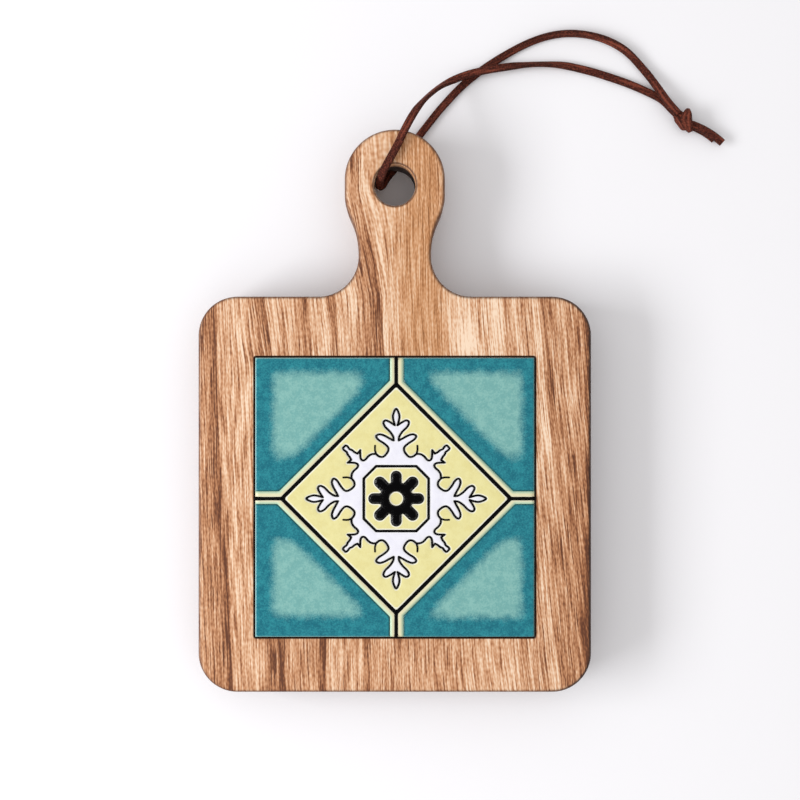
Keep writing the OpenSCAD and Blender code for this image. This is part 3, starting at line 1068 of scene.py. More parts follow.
@dataclass(frozen=True)
class SuedeFinish:
    """Red-brown suede lace: a short nap, darker cut edges and paler worn streaks."""

    colour: str = "#57261C"
    dark: str = "#2A0E08"
    worn: str = "#8E4835"
    sheen: str = "#B06A55"

    def build(self, groups: Groups) -> Material:
        """Builds the material: across runs from -1 to 1 over the lace's width.

        Args:
            groups: the shared node groups, not used.

        Returns:
            The material.
        """
        material, t, shader = new_material("suede")
        along, across = t.read("along"), t.read("across")
        nap = t.noise(t.vector(along, t.times(across, 3.0), 0.0), 0.9, 3.0, 0.75)
        fuzz = t.noise(t.place(), 1.9, 2.0, 0.8)
        run = t.vector(t.times(along, 0.07), t.times(across, 1.3), 0.0)
        streak = t.noise(run, 1.0, 3.0, 0.6)
        colour = t.layered(
            rgb(self.dark),
            (t.rise(nap, 0.35, 0.7), self.colour),
            (t.rise(streak, 0.48, 0.66, 0.0, 0.7), self.worn),
            (t.rise(t.math("ABSOLUTE", across), 0.5, 0.95, 0.0, 0.85), self.dark),
            (t.rise(fuzz, 0.5, 0.68, 0.0, 0.7), self.worn),
            (t.rise(fuzz, 0.47, 0.3, 0.0, 0.6), self.dark),
        )
        height = t.add(t.times(nap, 0.6), t.times(fuzz, 0.4))
        t.fill(
            shader, Base_Color=colour, Roughness=0.88, Specular_IOR_Level=0.2,
            Sheen_Weight=0.08, Sheen_Roughness=0.5, Sheen_Tint=rgb(self.sheen),
            Normal=t.bump(height, 0.00025),
        )
        return material


@dataclass(frozen=True)
class EarthFinish:
    """A dull, grainy finish: fired clay, adhesive or soft pads."""

    name: str
    colour: str
    second: str
    rough: float
    depth: float

    def build(self, groups: Groups) -> Material:
        """Builds the material.

        Args:
            groups: the shared node groups.

        Returns:
            The material.
        """
        material, t, shader = new_material(self.name)
        mask = groups.mottle(t, t.place(), 1.2)
        t.fill(
            shader, Base_Color=t.mix(mask, rgb(self.colour), rgb(self.second)),
            Roughness=self.rough, Normal=t.bump(mask, self.depth),
        )
        return material


# ---------------------------------------------------------------- the board


@dataclass
class Board:
    """The board with its handle, hole and recess, all edges truly rounded."""

    width: float = 141.0
    low: float = -101.0
    high: float = 41.0
    corner: float = 14.0
    top: float = 17.0
    bottom: float = 2.0
    ease: float = 1.2
    head: float = 18.0
    head_y: float = 83.0
    flank_y: float = 77.5
    neck: float = 13.0
    shoulder: float = 14.5
    hole: float = 7.5
    hole_y: float = 81.0
    hole_rim: float = 0.6
    tile_y: float = -31.0
    recess: float = 50.5
    recess_corner: float = 1.0
    floor: float = 9.8
    # Farthest that points lie apart on an arc and on a straight, and points round the hole
    arc_step: float = 0.9
    straight_step: float = 2.5
    around: int = 96
    # Rim value of the hole's rows, from the underside up: charred wood and painted shade deep
    # down,
    # painted light from 3.6 to 0.6 mm under the top, and a burnt outline on the rounded lip
    bore_rim_and_painted_light: tuple[float, ...] = (
        0.4, 0.8, 1.2, 1.6, 1.6, 1.6, 1.6, 0.2, 0.0, 0.4, 0.9, 0.9, 0.6, 0.0,
    )
    # The recess's rows from the top down to its floor: how far each lies outside the recess
    # and below the top, where the last one is on the floor, and its rim value
    pit_gaps: tuple[float, ...] = (0.8, 0.32, 0.14, 0.0, 0.0)
    pit_drops: tuple[float, ...] = (0.0, 0.0, 0.04, 0.16)
    # Its rim values paint the recess's walls dark: charred wood and painted shade
    pit_rim_and_painted_shade: tuple[float, ...] = (0.0, 0.35, 1.5, 1.6, 1.6)

    def edge(self) -> tuple[np.ndarray, np.ndarray]:
        """The outline from the middle of the lower end round to the middle of the head.

        Straight stretches and arcs follow one another; on an arc the outward side points
        away from its centre, or towards it in a hollow. The left half mirrors the right.

        Returns:
            (n, 2) points of the whole closed outline and their outward sides.
        """
        half, low, high, r = self.width / 2, self.low, self.high, self.corner
        hollow_y = high + self.shoulder
        drop = self.flank_y - hollow_y
        big = (self.neck**2 + drop**2 - self.head**2) / (2 * (self.head - self.neck))
        leave = math.degrees(math.atan2(drop, self.neck + big))
        arcs = [
            ((half - r, low + r), r, 270, 360, 1),
            ((half - r, high - r), r, 0, 90, 1),
            ((self.neck + self.shoulder, hollow_y), self.shoulder, 270, 180, -1),
            ((self.neck + big, hollow_y), big, 180, 180 - leave, -1),
            ((0.0, self.flank_y), self.head, -leave, 0, 1),
            ((0.0, self.head_y), self.head, 0, 90, 1),
        ]
        points, sides = [np.array([[0.0, low]])], [np.array([[0.0, -1.0]])]
        for centre, radius, start, end, way in arcs:
            count = max(6, int(abs(end - start) * radius * math.pi / 180 / self.arc_step))
            ray = rays(np.radians(np.linspace(start, end, count)))
            first = np.array(centre) + radius * ray[0]
            gap = first - points[-1][-1]
            length = np.linalg.norm(gap)
            if length > 1.0:
                steps = max(2, int(length / self.straight_step))
                share = (np.arange(1, steps) / steps)[:, None]
                points.append(points[-1][-1] + gap * share)
                sides.append(np.repeat(ray[:1] * way, steps - 1, axis=0))
            points.append(np.array(centre) + radius * ray)
            sides.append(ray * way)
        right, out = np.vstack(points), np.vstack(sides)
        keep = np.concatenate([[True], np.linalg.norm(np.diff(right, axis=0), axis=1) > 1e-4])
        right, out = right[keep], out[keep]
        mirror = np.array([-1.0, 1.0])
        left, left_out = right[-2:0:-1] * mirror, out[-2:0:-1] * mirror
        return np.vstack([right, left]), np.vstack([out, left_out])

    def rings(self) -> list[tuple[float, float, float]]:
        """Rings of the outer shell from the underside up: inset, height and rim value.

        The quarter rounds are inset r(1 - cos a) and r(1 - sin a) from the face.

        Returns:
            The three numbers of each ring.
        """
        a = np.radians(np.linspace(90, 0, 7))
        inset, rise = self.ease * (1 - np.cos(a)), self.ease * (1 - np.sin(a))
        under = [(self.ease + 1.4, self.bottom, 0.0)]
        for i, h in zip(inset, rise):
            under.append((i, self.bottom + h, 0.25 + 0.75 * (1 - i / self.ease)))
        over = [(i, self.top - (z - self.bottom), w) for i, z, w in reversed(under)]
        return under + [(0.0, (self.bottom + self.top) / 2, 1.0)] + over

    def round_square(self, half: float, r: float) -> np.ndarray:
        """A square's outline with rounded corners: quarter circles joined by straights.

        Args:
            half: half the square's side.
            r: the corners' radius.

        Returns:
            (n, 2) points round the tile's centre.
        """
        ray = rays(np.radians(np.linspace(0, 90, 7))) * r
        corners = [(ray[::-1] + half - r) @ turn for turn in quarter_turns()]
        return np.vstack(corners)[::-1] + np.array([0.0, self.tile_y])

    def surface(self) -> Surface:
        """The closed mesh: outer shell, faces, recess and hole.

        Returns:
            The surface. Its rim value is 0 on the flat faces and 1 on the sides; in the hole and
            in the recess it goes past 1 for charred wood and painted shade, and just under the
            hole's top it stays low, a pale band of painted light.
        """
        line, side = self.edge()
        rings = self.rings()
        n = len(line)
        shell = np.vstack([lifted(line - side * i, z) for i, z, _ in rings])
        rim = np.repeat([w for _, _, w in rings], n)
        outer = Surface(shell, [grid_quads(len(rings), n)], [True], {"rim": rim})

        a = np.radians(np.linspace(0, 90, 5))
        grow, fall = self.hole_rim * (1 - np.cos(a)), self.hole_rim * (1 - np.sin(a))
        bore = [(self.hole + g, self.bottom + f) for g, f in zip(grow[::-1], fall[::-1])]
        bore += [(self.hole, (self.bottom + self.top) / 2)]
        bore += [(self.hole, self.top - drop) for drop in (6.0, 3.6)]
        bore += [(self.hole + g, self.top - f) for g, f in zip(grow, fall)]
        bore += [(self.hole + self.hole_rim + 0.5, self.top)]
        circles = [circle(self.around) * r + [0, self.hole_y] for r, _ in bore]
        wall = np.vstack([lifted(flat, z) for flat, (_, z) in zip(circles, bore)])
        # Painted shade and charred wood deep in the hole, painted light just under its top
        rim = np.repeat(self.bore_rim_and_painted_light, self.around)
        hole = Surface(wall, [grid_quads(len(bore), self.around)], [True], {"rim": rim})

        loops = [self.round_square(self.recess + gap, self.recess_corner) for gap in self.pit_gaps]
        levels = [self.top - drop for drop in self.pit_drops] + [self.floor]
        m = len(loops[0])
        walls = np.vstack([lifted(loop, z) for loop, z in zip(loops, levels)])
        # Charred wood and painted shade on the recess's walls
        rim = np.repeat(self.pit_rim_and_painted_shade, m)
        pit = Surface(walls, [grid_quads(len(loops), m)], [True], {"rim": rim})

        def plate(loops_in: list[np.ndarray], z: float) -> Surface:
            """A flat face between loops at one height."""
            flat, faces = field_between(loops_in, 9.0, ())
            return Surface(lifted(flat, z), [faces], [False], {"rim": np.zeros(len(flat))})

        edge_top = line - side * rings[-1][0]
        edge_low = line - side * rings[0][0]
        parts = [
            outer, hole, pit,
            plate([edge_top, loops[0], circles[-1]], self.top),
            plate([edge_low, circles[-1]], self.bottom),
            plate([loops[-1]], self.floor),
        ]
        return joined(parts)

    def build(self, material: Material) -> None:
        """Makes the board and hides its CAD node.

        Args:
            material: the wood.
        """
        piece = make_piece("wooden_board", self.surface(), material, weld=0.004)
        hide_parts("board")


# ---------------------------------------------------------------- the tile


@dataclass
class Pattern:
    """Sizes of the pattern on the tile, and the outlines that follow from them.

    x and y are its centre on the board, and half is half the glazed square's side. hidden
    is where a pale strip starts, from the middle of the black line that covers its side.
    The points from tip to curl are the rosette's line over an eighth, as shares of its
    reach, and the eighth is mirrored and turned.
    """

    x: float = 0.5
    y: float = -31.45
    half: float = 49.92
    tile_y: float = -31.0
    reach: float = 40.95
    line: float = 1.44
    arm: float = 1.36
    hidden: float = 0.55
    strip: float = 2.0
    left: float = 1.7
    right: float = 2.1
    upper: float = 2.1
    lower: float = 1.4
    rosette: float = 32.2
    outline: float = 0.76
    octagon: float = 24.17
    cut: float = 4.7
    octagon_line: float = 0.96
    tip: tuple = ((0, 1), (0.026, 0.958), (0.036, 0.9), (0.015, 0.815))
    leaf: tuple = (
        (0.015, 0.815), (0.068, 0.85), (0.115, 0.87), (0.142, 0.848), (0.124, 0.8),
        (0.07, 0.745), (0.034, 0.69), (0.028, 0.646),
    )
    bay: tuple = (
        (0.028, 0.646), (0.075, 0.67), (0.13, 0.7), (0.184, 0.715), (0.223, 0.695),
        (0.198, 0.655), (0.137, 0.615), (0.09, 0.57), (0.093, 0.522), (0.137, 0.469),
        (0.185, 0.467), (0.224, 0.497),
    )
    arch: tuple = (
        (0.224, 0.497), (0.27, 0.494), (0.308, 0.472), (0.345, 0.432), (0.376, 0.425),
        (0.397, 0.458), (0.4, 0.54),
    )
    barb: tuple = (
        (0.43, 0.5), (0.462, 0.516), (0.492, 0.54), (0.518, 0.55), (0.54, 0.58), (0.562, 0.592),
        (0.577, 0.577),
    )
    curl: tuple = ((0.224, 0.497), (0.236, 0.54), (0.235, 0.588))
    steps: int = 8

    def field_reach(self, sx: int, sy: int) -> tuple[float, float]:
        """How far the glazed field runs from the pattern's centre to one corner."""
        return self.half - sx * self.x, self.half - sy * (self.y - self.tile_y)

    def on_tile(self, points: np.ndarray) -> np.ndarray:
        """Moves points from the pattern's centre to their place on the board."""
        return points + np.array([self.x, self.y])

    def stretches(self) -> list[np.ndarray]:
        """The rosette's line over a quarter, as smooth stretches between sharp corners.

        Returns:
            Stretches from the upper arm's tip round to the right arm's, in millimetres.
        """
        swap = np.array([1, 0])
        tip = curve_through([(-a, b) for a, b in self.tip[:0:-1]] + list(self.tip), self.steps)
        parts = [curve_through(p, self.steps) for p in (self.leaf, self.bay, self.arch)]
        spike = np.array([self.arch[-1], self.barb[0]], float)
        lobe = curve_through(list(self.barb) + [(b, a) for a, b in self.barb[-2::-1]], self.steps)
        back = [p[::-1][:, swap] for p in ([spike] + parts[::-1])]
        return [p * self.rosette for p in [tip] + parts + [spike, lobe] + back]

    def rosette_loop(self) -> np.ndarray:
        """The rosette's line as one closed outline.

        Returns:
            (n, 2) points round the pattern's centre.
        """
        quarter = self.stretches()
        tip = quarter[0]
        middle = len(tip) // 2
        far_tip = tip[: middle + 1, [1, 0]] * np.array([1.0, -1.0])
        one = np.vstack([p[:-1] for p in [tip[middle:]] + quarter[1:] + [far_tip]])
        return np.vstack([one @ turn for turn in quarter_turns()])

    def pool_reach(self) -> float:
        """Where the corner pools' slants would cross the pattern's middle lines."""
        return self.reach + (self.hidden + self.strip) * ROOT2

    def diamond_loop(self) -> np.ndarray:
        """The corners of the diamond's line, from the lowest round to the left one."""
        r = self.reach
        return np.array([(0, -r), (r, 0), (0, r), (-r, 0)], float)

    def octagon_loop(self) -> np.ndarray:
        """The corners of the octagon's line: a square with its own corners cut off.

        Returns:
            (8, 2) corners.
        """
        h = (self.octagon - self.octagon_line) / 2
        s = h - (self.cut - self.octagon_line * (1 - 1 / ROOT2))
        return np.array([(s, -h), (h, -s), (h, s), (s, h), (-s, h), (-h, s), (-h, -s), (-s, -h)])


def ridge(
    path: np.ndarray, width: float, rise: float, base: float, closed: bool = False
) -> Surface:
    """A raised line: a half-oval section carried along a flat path.

    The section is half the width times cos a to the side and the rise times sin a to the
    power 0.45 up, for a from 0 to 180 degrees, and its foot is flat. The width sways by a
    twentieth along the line. An open line ends in rounded caps, whose sections shrink as
    cos b while their centre moves on by half the width times sin b.

    Args:
        path: (n, 2) middle of the line.
        width: its width.
        rise: its height over the base.
        base: height of its foot.
        closed: whether the path returns to its start, with mitred corners.

    Returns:
        The closed surface.
    """
    ahead = headings(path, closed)
    grow = np.ones(len(path))
    if closed:
        step = np.roll(path, -1, axis=0) - path
        unit = step / np.linalg.norm(step, axis=1, keepdims=True)
        grow = 1 / np.maximum(np.abs((unit * ahead).sum(axis=1)), 0.5)
    else:
        b = np.radians([75, 50, 25])
        lead = path[0] - ahead[0] * (width / 2 * np.sin(b))[:, None]
        tail = path[-1] + ahead[-1] * (width / 2 * np.sin(b[::-1]))[:, None]
        path = np.vstack([lead, path, tail])
        ahead = np.vstack([np.repeat(ahead[:1], 3, 0), ahead, np.repeat(ahead[-1:], 3, 0)])
        grow = np.concatenate([np.cos(b), grow, np.cos(b[::-1])])
    side = np.stack([-ahead[:, 1], ahead[:, 0]], axis=1)
    run = np.arange(len(path))
    sway = 1 + 0.05 * np.sin(run * 0.31 + path[:, 0]) * np.sin(run * 0.13 + path[:, 1] * 0.7)
    a = np.radians(np.array([0, 8, 22, 45, 75, 105, 135, 158, 172, 180]))
    across = (width / 2) * (grow * sway)[:, None] * np.cos(a)[None]
    up = base + rise * np.clip(grow, 0, 1)[:, None] ** 0.3 * np.sin(a)[None] ** 0.45
    rows, cols = len(path), len(a)
    flat = path[:, None] + side[:, None] * across[..., None]
    points = np.concatenate([flat, up[..., None]], axis=2).reshape(-1, 3)
    faces = [grid_quads(rows, cols, close_rows=closed)]
    if not closed:
        first = np.arange(cols)
        last = first + (rows - 1) * cols
        faces += [first[None, ::-1], last[None]]
    return Surface(points, faces, [True] * len(faces), {"inset": np.full(len(points), 1.0)})


@dataclass
class Pool:
    """One field of poured glaze between its sides.

    outline holds its closed loops. sides holds the paths that bound it, each with half the
    width of the line that hides it. edge_x and edge_y are where the field runs out at the
    tile's edge, and crest is how far a narrow strip bulges over its sides. sink and sink_w
    are depth and width of the hollow along its sides, and fall and fall_w those of the
    roll-off at the tile's edge.
    """

    name: str
    node: str
    slot: str
    outline: list[np.ndarray]
    sides: list[tuple[np.ndarray, float]]
    edge_x: float = 999.0
    edge_y: float = 999.0
    spacing: float = 1.1
    crest: float = 0.0
    rows: tuple[float, ...] = (0.3, 0.62, 1.1)
    base: float = 17.4
    level: float = 17.8
    arris: float = 0.42
    sink: float = 0.09
    sink_w: float = 0.5
    fall: float = 0.42
    fall_w: float = 0.24

    def surface(self) -> Surface:
        """The closed pool.

        Its face sinks by sink e^-(d/sink_w)^2 towards its sides, or on a strip rises over
        them by the crest times 1 - (1 - d/0.9)^2, and it rolls off by
        fall e^-(e/fall_w)^2 at the tile's edge, where d and e are the distances. Its
        underside follows the tile's arris down.

        Returns:
            The surface, with inset, the distance from its inner sides, and outer, the
            distance from the tile's edge.
        """
        cover = max(half for _, half in self.sides)
        rows = tuple(cover + row for row in self.rows)
        flat, faces = field_between(self.outline, self.spacing, rows)
        edges = ((0, self.edge_x), (1, self.edge_y))
        gaps = [distance_to_loops(flat, [path], edges) - half for path, half in self.sides]
        near = np.min(gaps, axis=0)
        outer = np.minimum(np.abs(flat[:, 0] - self.edge_x), np.abs(flat[:, 1] - self.edge_y))
        if self.crest:
            z = self.level - 0.15 + self.crest * (1 - (1 - np.clip(near / 0.9, 0, 1)) ** 2)
        else:
            z = self.level - self.sink * np.exp(-((np.maximum(near, 0) / self.sink_w) ** 2))
        z = z - self.fall * np.exp(-((outer / self.fall_w) ** 2))
        foot = self.base - np.maximum(self.arris - outer, 0)
        foot = foot - np.where(outer < self.arris, 0.02, 0.0)
        count = len(flat)
        points = np.vstack([np.column_stack([flat, z]), np.column_stack([flat, foot])])
        sides, start = [], 0
        for loop in self.outline:
            ring = start + np.arange(len(loop))
            sides.append(quads_between(ring, ring + count))
            start += len(loop)
        values = {"inset": np.tile(near, 2), "outer": np.tile(outer, 2)}
        blocks = [faces, faces[:, ::-1] + count, np.vstack(sides)]
        return Surface(points, blocks, [True, False, False], values)


@dataclass
class Tile:
    """The glazed tile: pools of colour, raised black lines and the flower."""

    pattern: Pattern = field(default_factory=Pattern)
    level: float = 17.8
    clay: float = 17.4
    rise: float = 0.2
    # How far each corner's pale heart keeps from its upright side, level side and slant,
    # by 2 sy + sx, and where the hearts end beside the pattern's middle lines
    hearts: dict[int, tuple[float, float, float]] = field(
        default_factory=lambda: {
            1: (6.0, 4.9, 4.7), 3: (4.1, 4.9, 6.4), -3: (6.0, 7.1, 4.9), -1: (4.1, 6.6, 5.4),
        }
    )
    heart_x: float = 11.6
    heart_y: float = 14.2
    heart_blend: float = 1.3

    def corner_loops(
        self, sx: int, sy: int
    ) -> tuple[np.ndarray, np.ndarray, np.ndarray, float, float]:
        """Outlines of one corner's teal pool and cream strip, and the black line's path.

        Args:
            sx: 1 on the right, -1 on the left.
            sy: 1 above, -1 below.

        Returns:
            The teal outline, the cream outline, the path of the black line there and back,
            and the tile's two edges there.
        """
        p = self.pattern
        far_x, far_y = p.field_reach(sx, sy)
        gx = p.hidden + (p.right if sx > 0 else p.left)
        gy = p.hidden + (p.upper if sy > 0 else p.lower)
        out = p.pool_reach()
        teal = [(gx, far_y), (gx, out - gx), (out - gy, gy), (far_x, gy), (far_x, far_y)]
        cream = [(0, far_y), (0, p.reach), (p.reach, 0), (far_x, 0)] + teal[3:0:-1] + teal[:1]
        black = cream[:4] + cream[2:0:-1]

        def placed(loop: list[tuple[float, float]]) -> np.ndarray:
            """A loop of corners on the board, with points along its sides."""
            return p.on_tile(dense(np.array(loop, float) * (sx, sy), 0.9))

        return placed(teal), placed(cream), placed(black), p.x + sx * far_x, p.y + sy * far_y

    def teal_depth(self, flat: np.ndarray, sx: int, sy: int) -> np.ndarray:
        """How far a point lies inside the pale heart of a corner pool.

        The heart keeps its corner's distances from the upright and level outer sides and from
        the long slant, and ends at heart_x and heart_y from the pattern's middle lines;
        its corners round off because the distances are blended as -w ln(sum e^(-d/w)).

        Args:
            flat: (n, 2) points on the board.
            sx: 1 on the right, -1 on the left.
            sy: 1 above, -1 below.

        Returns:
            n values in mm, below 0 outside the heart.
        """
        p = self.pattern
        q = (flat - np.array([p.x, p.y])) * np.array([sx, sy])
        far_x, far_y = p.field_reach(sx, sy)
        side, end, slant = self.hearts[sy * 2 + sx]
        gaps = np.stack([
            far_x - q[:, 0] - side, far_y - q[:, 1] - end,
            (q.sum(axis=1) - p.pool_reach()) / ROOT2 - slant,
            q[:, 0] - self.heart_x, q[:, 1] - self.heart_y,
        ])
        return -self.heart_blend * np.log(np.exp(-gaps / self.heart_blend).sum(axis=0))

    def corners(self, teal: Material, cream: Material) -> None:
        """Makes the four corner pools and their cream strips.

        Args:
            teal: material of the pools.
            cream: material of the strips.
        """
        for vertical, sy in (("top", 1), ("bottom", -1)):
            for level, sx in (("left", -1), ("right", 1)):
                place = f"{vertical}_{level}"
                outer, strip, black, edge_x, edge_y = self.corner_loops(sx, sy)
                pool = Pool(
                    f"corner_pool_{place}", f"teal_glaze_{place}", "teal_glaze",
                    [outer], [(outer, 0.0)], edge_x, edge_y,
                )
                surface = pool.surface()
                surface.values["depth"] = self.teal_depth(surface.points[:, :2], sx, sy)
                self.finish(pool, surface, teal)
                pool = Pool(
                    f"pale_strip_{place}", f"cream_strip_{place}", "cream_glaze", [strip],
                    [(black, self.pattern.arm / 2), (outer, 0.0)], edge_x, edge_y,
                    spacing=0.4, crest=0.2, rows=(0.3,),
                )
                surface = pool.surface()
                flat, edges = surface.points[:, :2], ((0, edge_x), (1, edge_y))
                surface.values["verge"] = distance_to_loops(flat, [outer], edges)
                self.finish(pool, surface, cream)

    def finish(self, pool: Pool, surface: Surface, material: Material) -> None:
        """Makes a pool's piece and hides its CAD node.

        Args:
            pool: the pool.
            surface: its surface.
            material: its glaze.
        """
        piece = make_piece(pool.name, surface, material)
        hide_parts(pool.node)

    def middle(self, yellow: Material, white: Material) -> None:
        """Makes the yellow field, the white rosette and the yellow octagon.

        Args:
            yellow: material of the field and the octagon.
            white: material of the rosette.
        """
        p = self.pattern
        diamond = p.on_tile(dense(p.diamond_loop(), 0.9))
        rosette = p.on_tile(p.rosette_loop())
        octagon = p.on_tile(dense(p.octagon_loop(), 0.6))
        outer, between = (diamond, p.line / 2), (rosette, p.outline / 2)
        inner = (octagon, p.octagon_line / 2)
        pool = Pool(
            "yellow_field", "yellow_glaze", "yellow_glaze", [diamond, rosette], [outer, between]
        )
        self.finish(pool, pool.surface(), yellow)
        pool = Pool(
            "white_rosette", "white_glaze", "white_glaze", [rosette, octagon], [between, inner]
        )
        self.finish(pool, pool.surface(), white)
        pool = Pool(
            "octagon_field", "octagon_glaze", "yellow_glaze", [octagon], [inner], spacing=0.5
        )
        surface = pool.surface()
        # The yellow's rim of painted highlight also runs round the flower
        near = Flower(p.x, p.y).outside(surface.points[:, :2])
        surface.values["inset"] = np.minimum(surface.values["inset"], np.maximum(near, 0))
        self.finish(pool, surface, yellow)

    def lines(self, black: Material) -> None:
        """Makes the diamond's, the rosette's and the octagon's raised lines.

        Args:
            black: their material.
        """
        p = self.pattern
        base, rise = self.clay, self.level + self.rise - self.clay
        far = [p.field_reach(1, 1), p.field_reach(-1, -1)]
        loop = p.diamond_loop()
        parts = [ridge(p.on_tile(dense(loop, 1.2)), p.line, rise, base, closed=True)]
        ends = [(far[0][0], 0), (0, far[0][1]), (-far[1][0], 0), (0, -far[1][1])]
        for corner, end in zip(np.roll(loop, -1, axis=0), ends):
            path = np.array([corner * 0.985, np.array(end) * (1 - 0.25 / np.abs(end).max())])
            parts.append(ridge(p.on_tile(spaced(path, 1.0)), p.arm, rise, base))
        self.stroke("diamond_ridge", "diamond_line", parts, black)
        parts = []
        strokes = [spaced(s, 0.3) for s in p.stretches()]
        curl = spaced(curve_through(p.curl, p.steps) * p.rosette, 0.3)
        strokes += [curl, curl[:, [1, 0]]]
        for turn in quarter_turns():
            parts += [ridge(p.on_tile(stroke @ turn), p.outline, rise, base) for stroke in strokes]
        self.stroke("rosette_ridge", "rosette_line", parts, black)
        loop = p.on_tile(dense(p.octagon_loop(), 0.8))
        parts = [ridge(loop, p.octagon_line, rise, base, closed=True)]
        self.stroke("octagon_ridge", "octagon_line", parts, black)

    def stroke(self, name: str, node: str, parts: list[Surface], black: Material) -> None:
        """Makes one piece of raised lines and hides its CAD node.

        Args:
            name: the piece's name.
            node: the CAD node.
            parts: its lines.
            black: their material.
        """
        piece = make_piece(name, joined(parts), black, weld=0.0)
        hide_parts(node)

    def build(self, finishes: dict[str, Material], frame: dict) -> None:
        """Makes everything on the tile and dresses the CAD nodes beneath it.

        Args:
            finishes: materials by name.
        """
        self.corners(finishes["teal"], finishes["cream"])
        self.middle(finishes["yellow"], finishes["white"])
        self.lines(finishes["line"])
        Flower(self.pattern.x, self.pattern.y).build(finishes["flower"])
        for node, finish in (("tile_body", "clay"), ("tile_adhesive", "adhesive")):
            piece = frame["nodes"][node]
            piece.data.materials.clear()
            piece.data.materials.append(finishes[finish])


@dataclass
class Flower:
    """The thick black flower: eight petals round a raised ring and an open eye.

    petal is a petal's width, and ring and eye are diameters. The slanting petals are a
    little longer and wider than the upright ones. swell is the power that domes are raised
    to, and crest is the ring's height against the petals'.
    """

    x: float
    y: float
    petals: int = 8
    reach: float = 10.0
    petal: float = 3.9
    slanting_longer: float = 0.35
    slanting_wider: float = 0.1
    ring: float = 12.0
    eye: float = 5.0
    height: float = 0.6
    level: float = 17.8
    swell: float = 1.2
    crest: float = 1.25

    def domes(self, flat: np.ndarray) -> tuple[np.ndarray, np.ndarray]:
        """Height of the flower over the glaze, and the distance outside its outline.

        Each petal is a dome, sqrt(1 - (d/a)^2) raised to the power swell, over the distance d
        from its own line, with a half its width; the ring is the same over the distance from
        its middle circle. They blend as the fourth root of the sum of their fourth powers.

        Args:
            flat: (n, 2) points on the board.

        Returns:
            n heights and n distances, below 0 inside.
        """
        q = flat - np.array([self.x, self.y])
        radius = np.hypot(q[:, 0], q[:, 1])
        a = self.petal / 2
        turn = np.radians(360 / self.petals) * np.arange(self.petals)
        along = q[:, :1] * np.cos(turn) + q[:, 1:] * np.sin(turn)
        aside = -q[:, :1] * np.sin(turn) + q[:, 1:] * np.cos(turn)
        slanting = np.arange(self.petals) % 2 == 1
        extra = np.where(slanting, self.slanting_longer, 0.0)
        wide = a + np.where(slanting, self.slanting_wider, 0.0)
        over = along - np.clip(along, self.eye / 2 + a, self.reach + extra - wide)
        off = np.hypot(over, aside)
        petal = np.sqrt(np.clip(1 - (off / wide) ** 2, 0, 1)) ** self.swell
        middle, half = (self.ring + self.eye) / 4, (self.ring - self.eye) / 4
        tyre = np.sqrt(np.clip(1 - ((radius - middle) / half) ** 2, 0, 1)) ** self.swell
        tyre = self.crest * tyre
        height = self.height * ((petal**4).sum(axis=1) + tyre**4) ** 0.25
        out = np.minimum((off - wide).min(axis=1), np.abs(radius - middle) - half)
        return height, out

    def outside(self, flat: np.ndarray) -> np.ndarray:
        """Distance of points outside the flower's outline."""
        return self.domes(flat)[1]

    def surface(self) -> Surface:
        """The closed flower on a polar grid.

        For each angle the outline's radius is the first of 400, from within the ring to past
        the reach, that lies outside, and the rows run from the eye to it, closer together
        near both.

        Returns:
            The surface, with crown, its height as a share of the flower's.
        """
        ray = circle(360)
        centre = np.array([self.x, self.y])
        radii = np.linspace(self.ring / 2 - 0.2, self.reach + 1.0, 400)
        cloud = centre + ray[:, None] * radii[None, :, None]
        out = self.outside(cloud.reshape(-1, 2)).reshape(len(ray), -1)
        outer = radii[np.argmax(out > 0, axis=1)]
        share = (1 - np.cos(np.linspace(0, math.pi, 36))) / 2
        inner = self.eye / 2
        r = inner + (outer[None, :] - inner) * share[:, None]
        flat = centre + ray[None] * r[..., None]
        height = self.domes(flat.reshape(-1, 2))[0].reshape(len(share), -1)
        height[[0, -1]] = 0
        rows, cols = height.shape
        top = np.concatenate([flat, (self.level + height)[..., None]], axis=2).reshape(-1, 3)
        points = np.vstack([top] + [lifted(flat[k], self.level - 0.1) for k in (-1, 0)])
        ring = np.arange(cols)
        rings = [start * cols + ring for start in (rows - 1, rows, rows + 1, 0)]
        walls = [quads_between(a, b) for a, b in zip(rings, rings[1:])]
        faces = [grid_quads(rows, cols), np.vstack(walls)]
        crown = np.concatenate([height.reshape(-1) / self.height, np.zeros(2 * cols)])
        return Surface(points, faces, [True, False], {"crown": crown})

    def build(self, black: Material) -> None:
        """Makes the flower and hides its CAD node.

        Args:
            black: its material.
        """
        piece = make_piece("black_flower", self.surface(), black)
        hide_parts("flower_relief")


# ---------------------------------------------------------------- pads


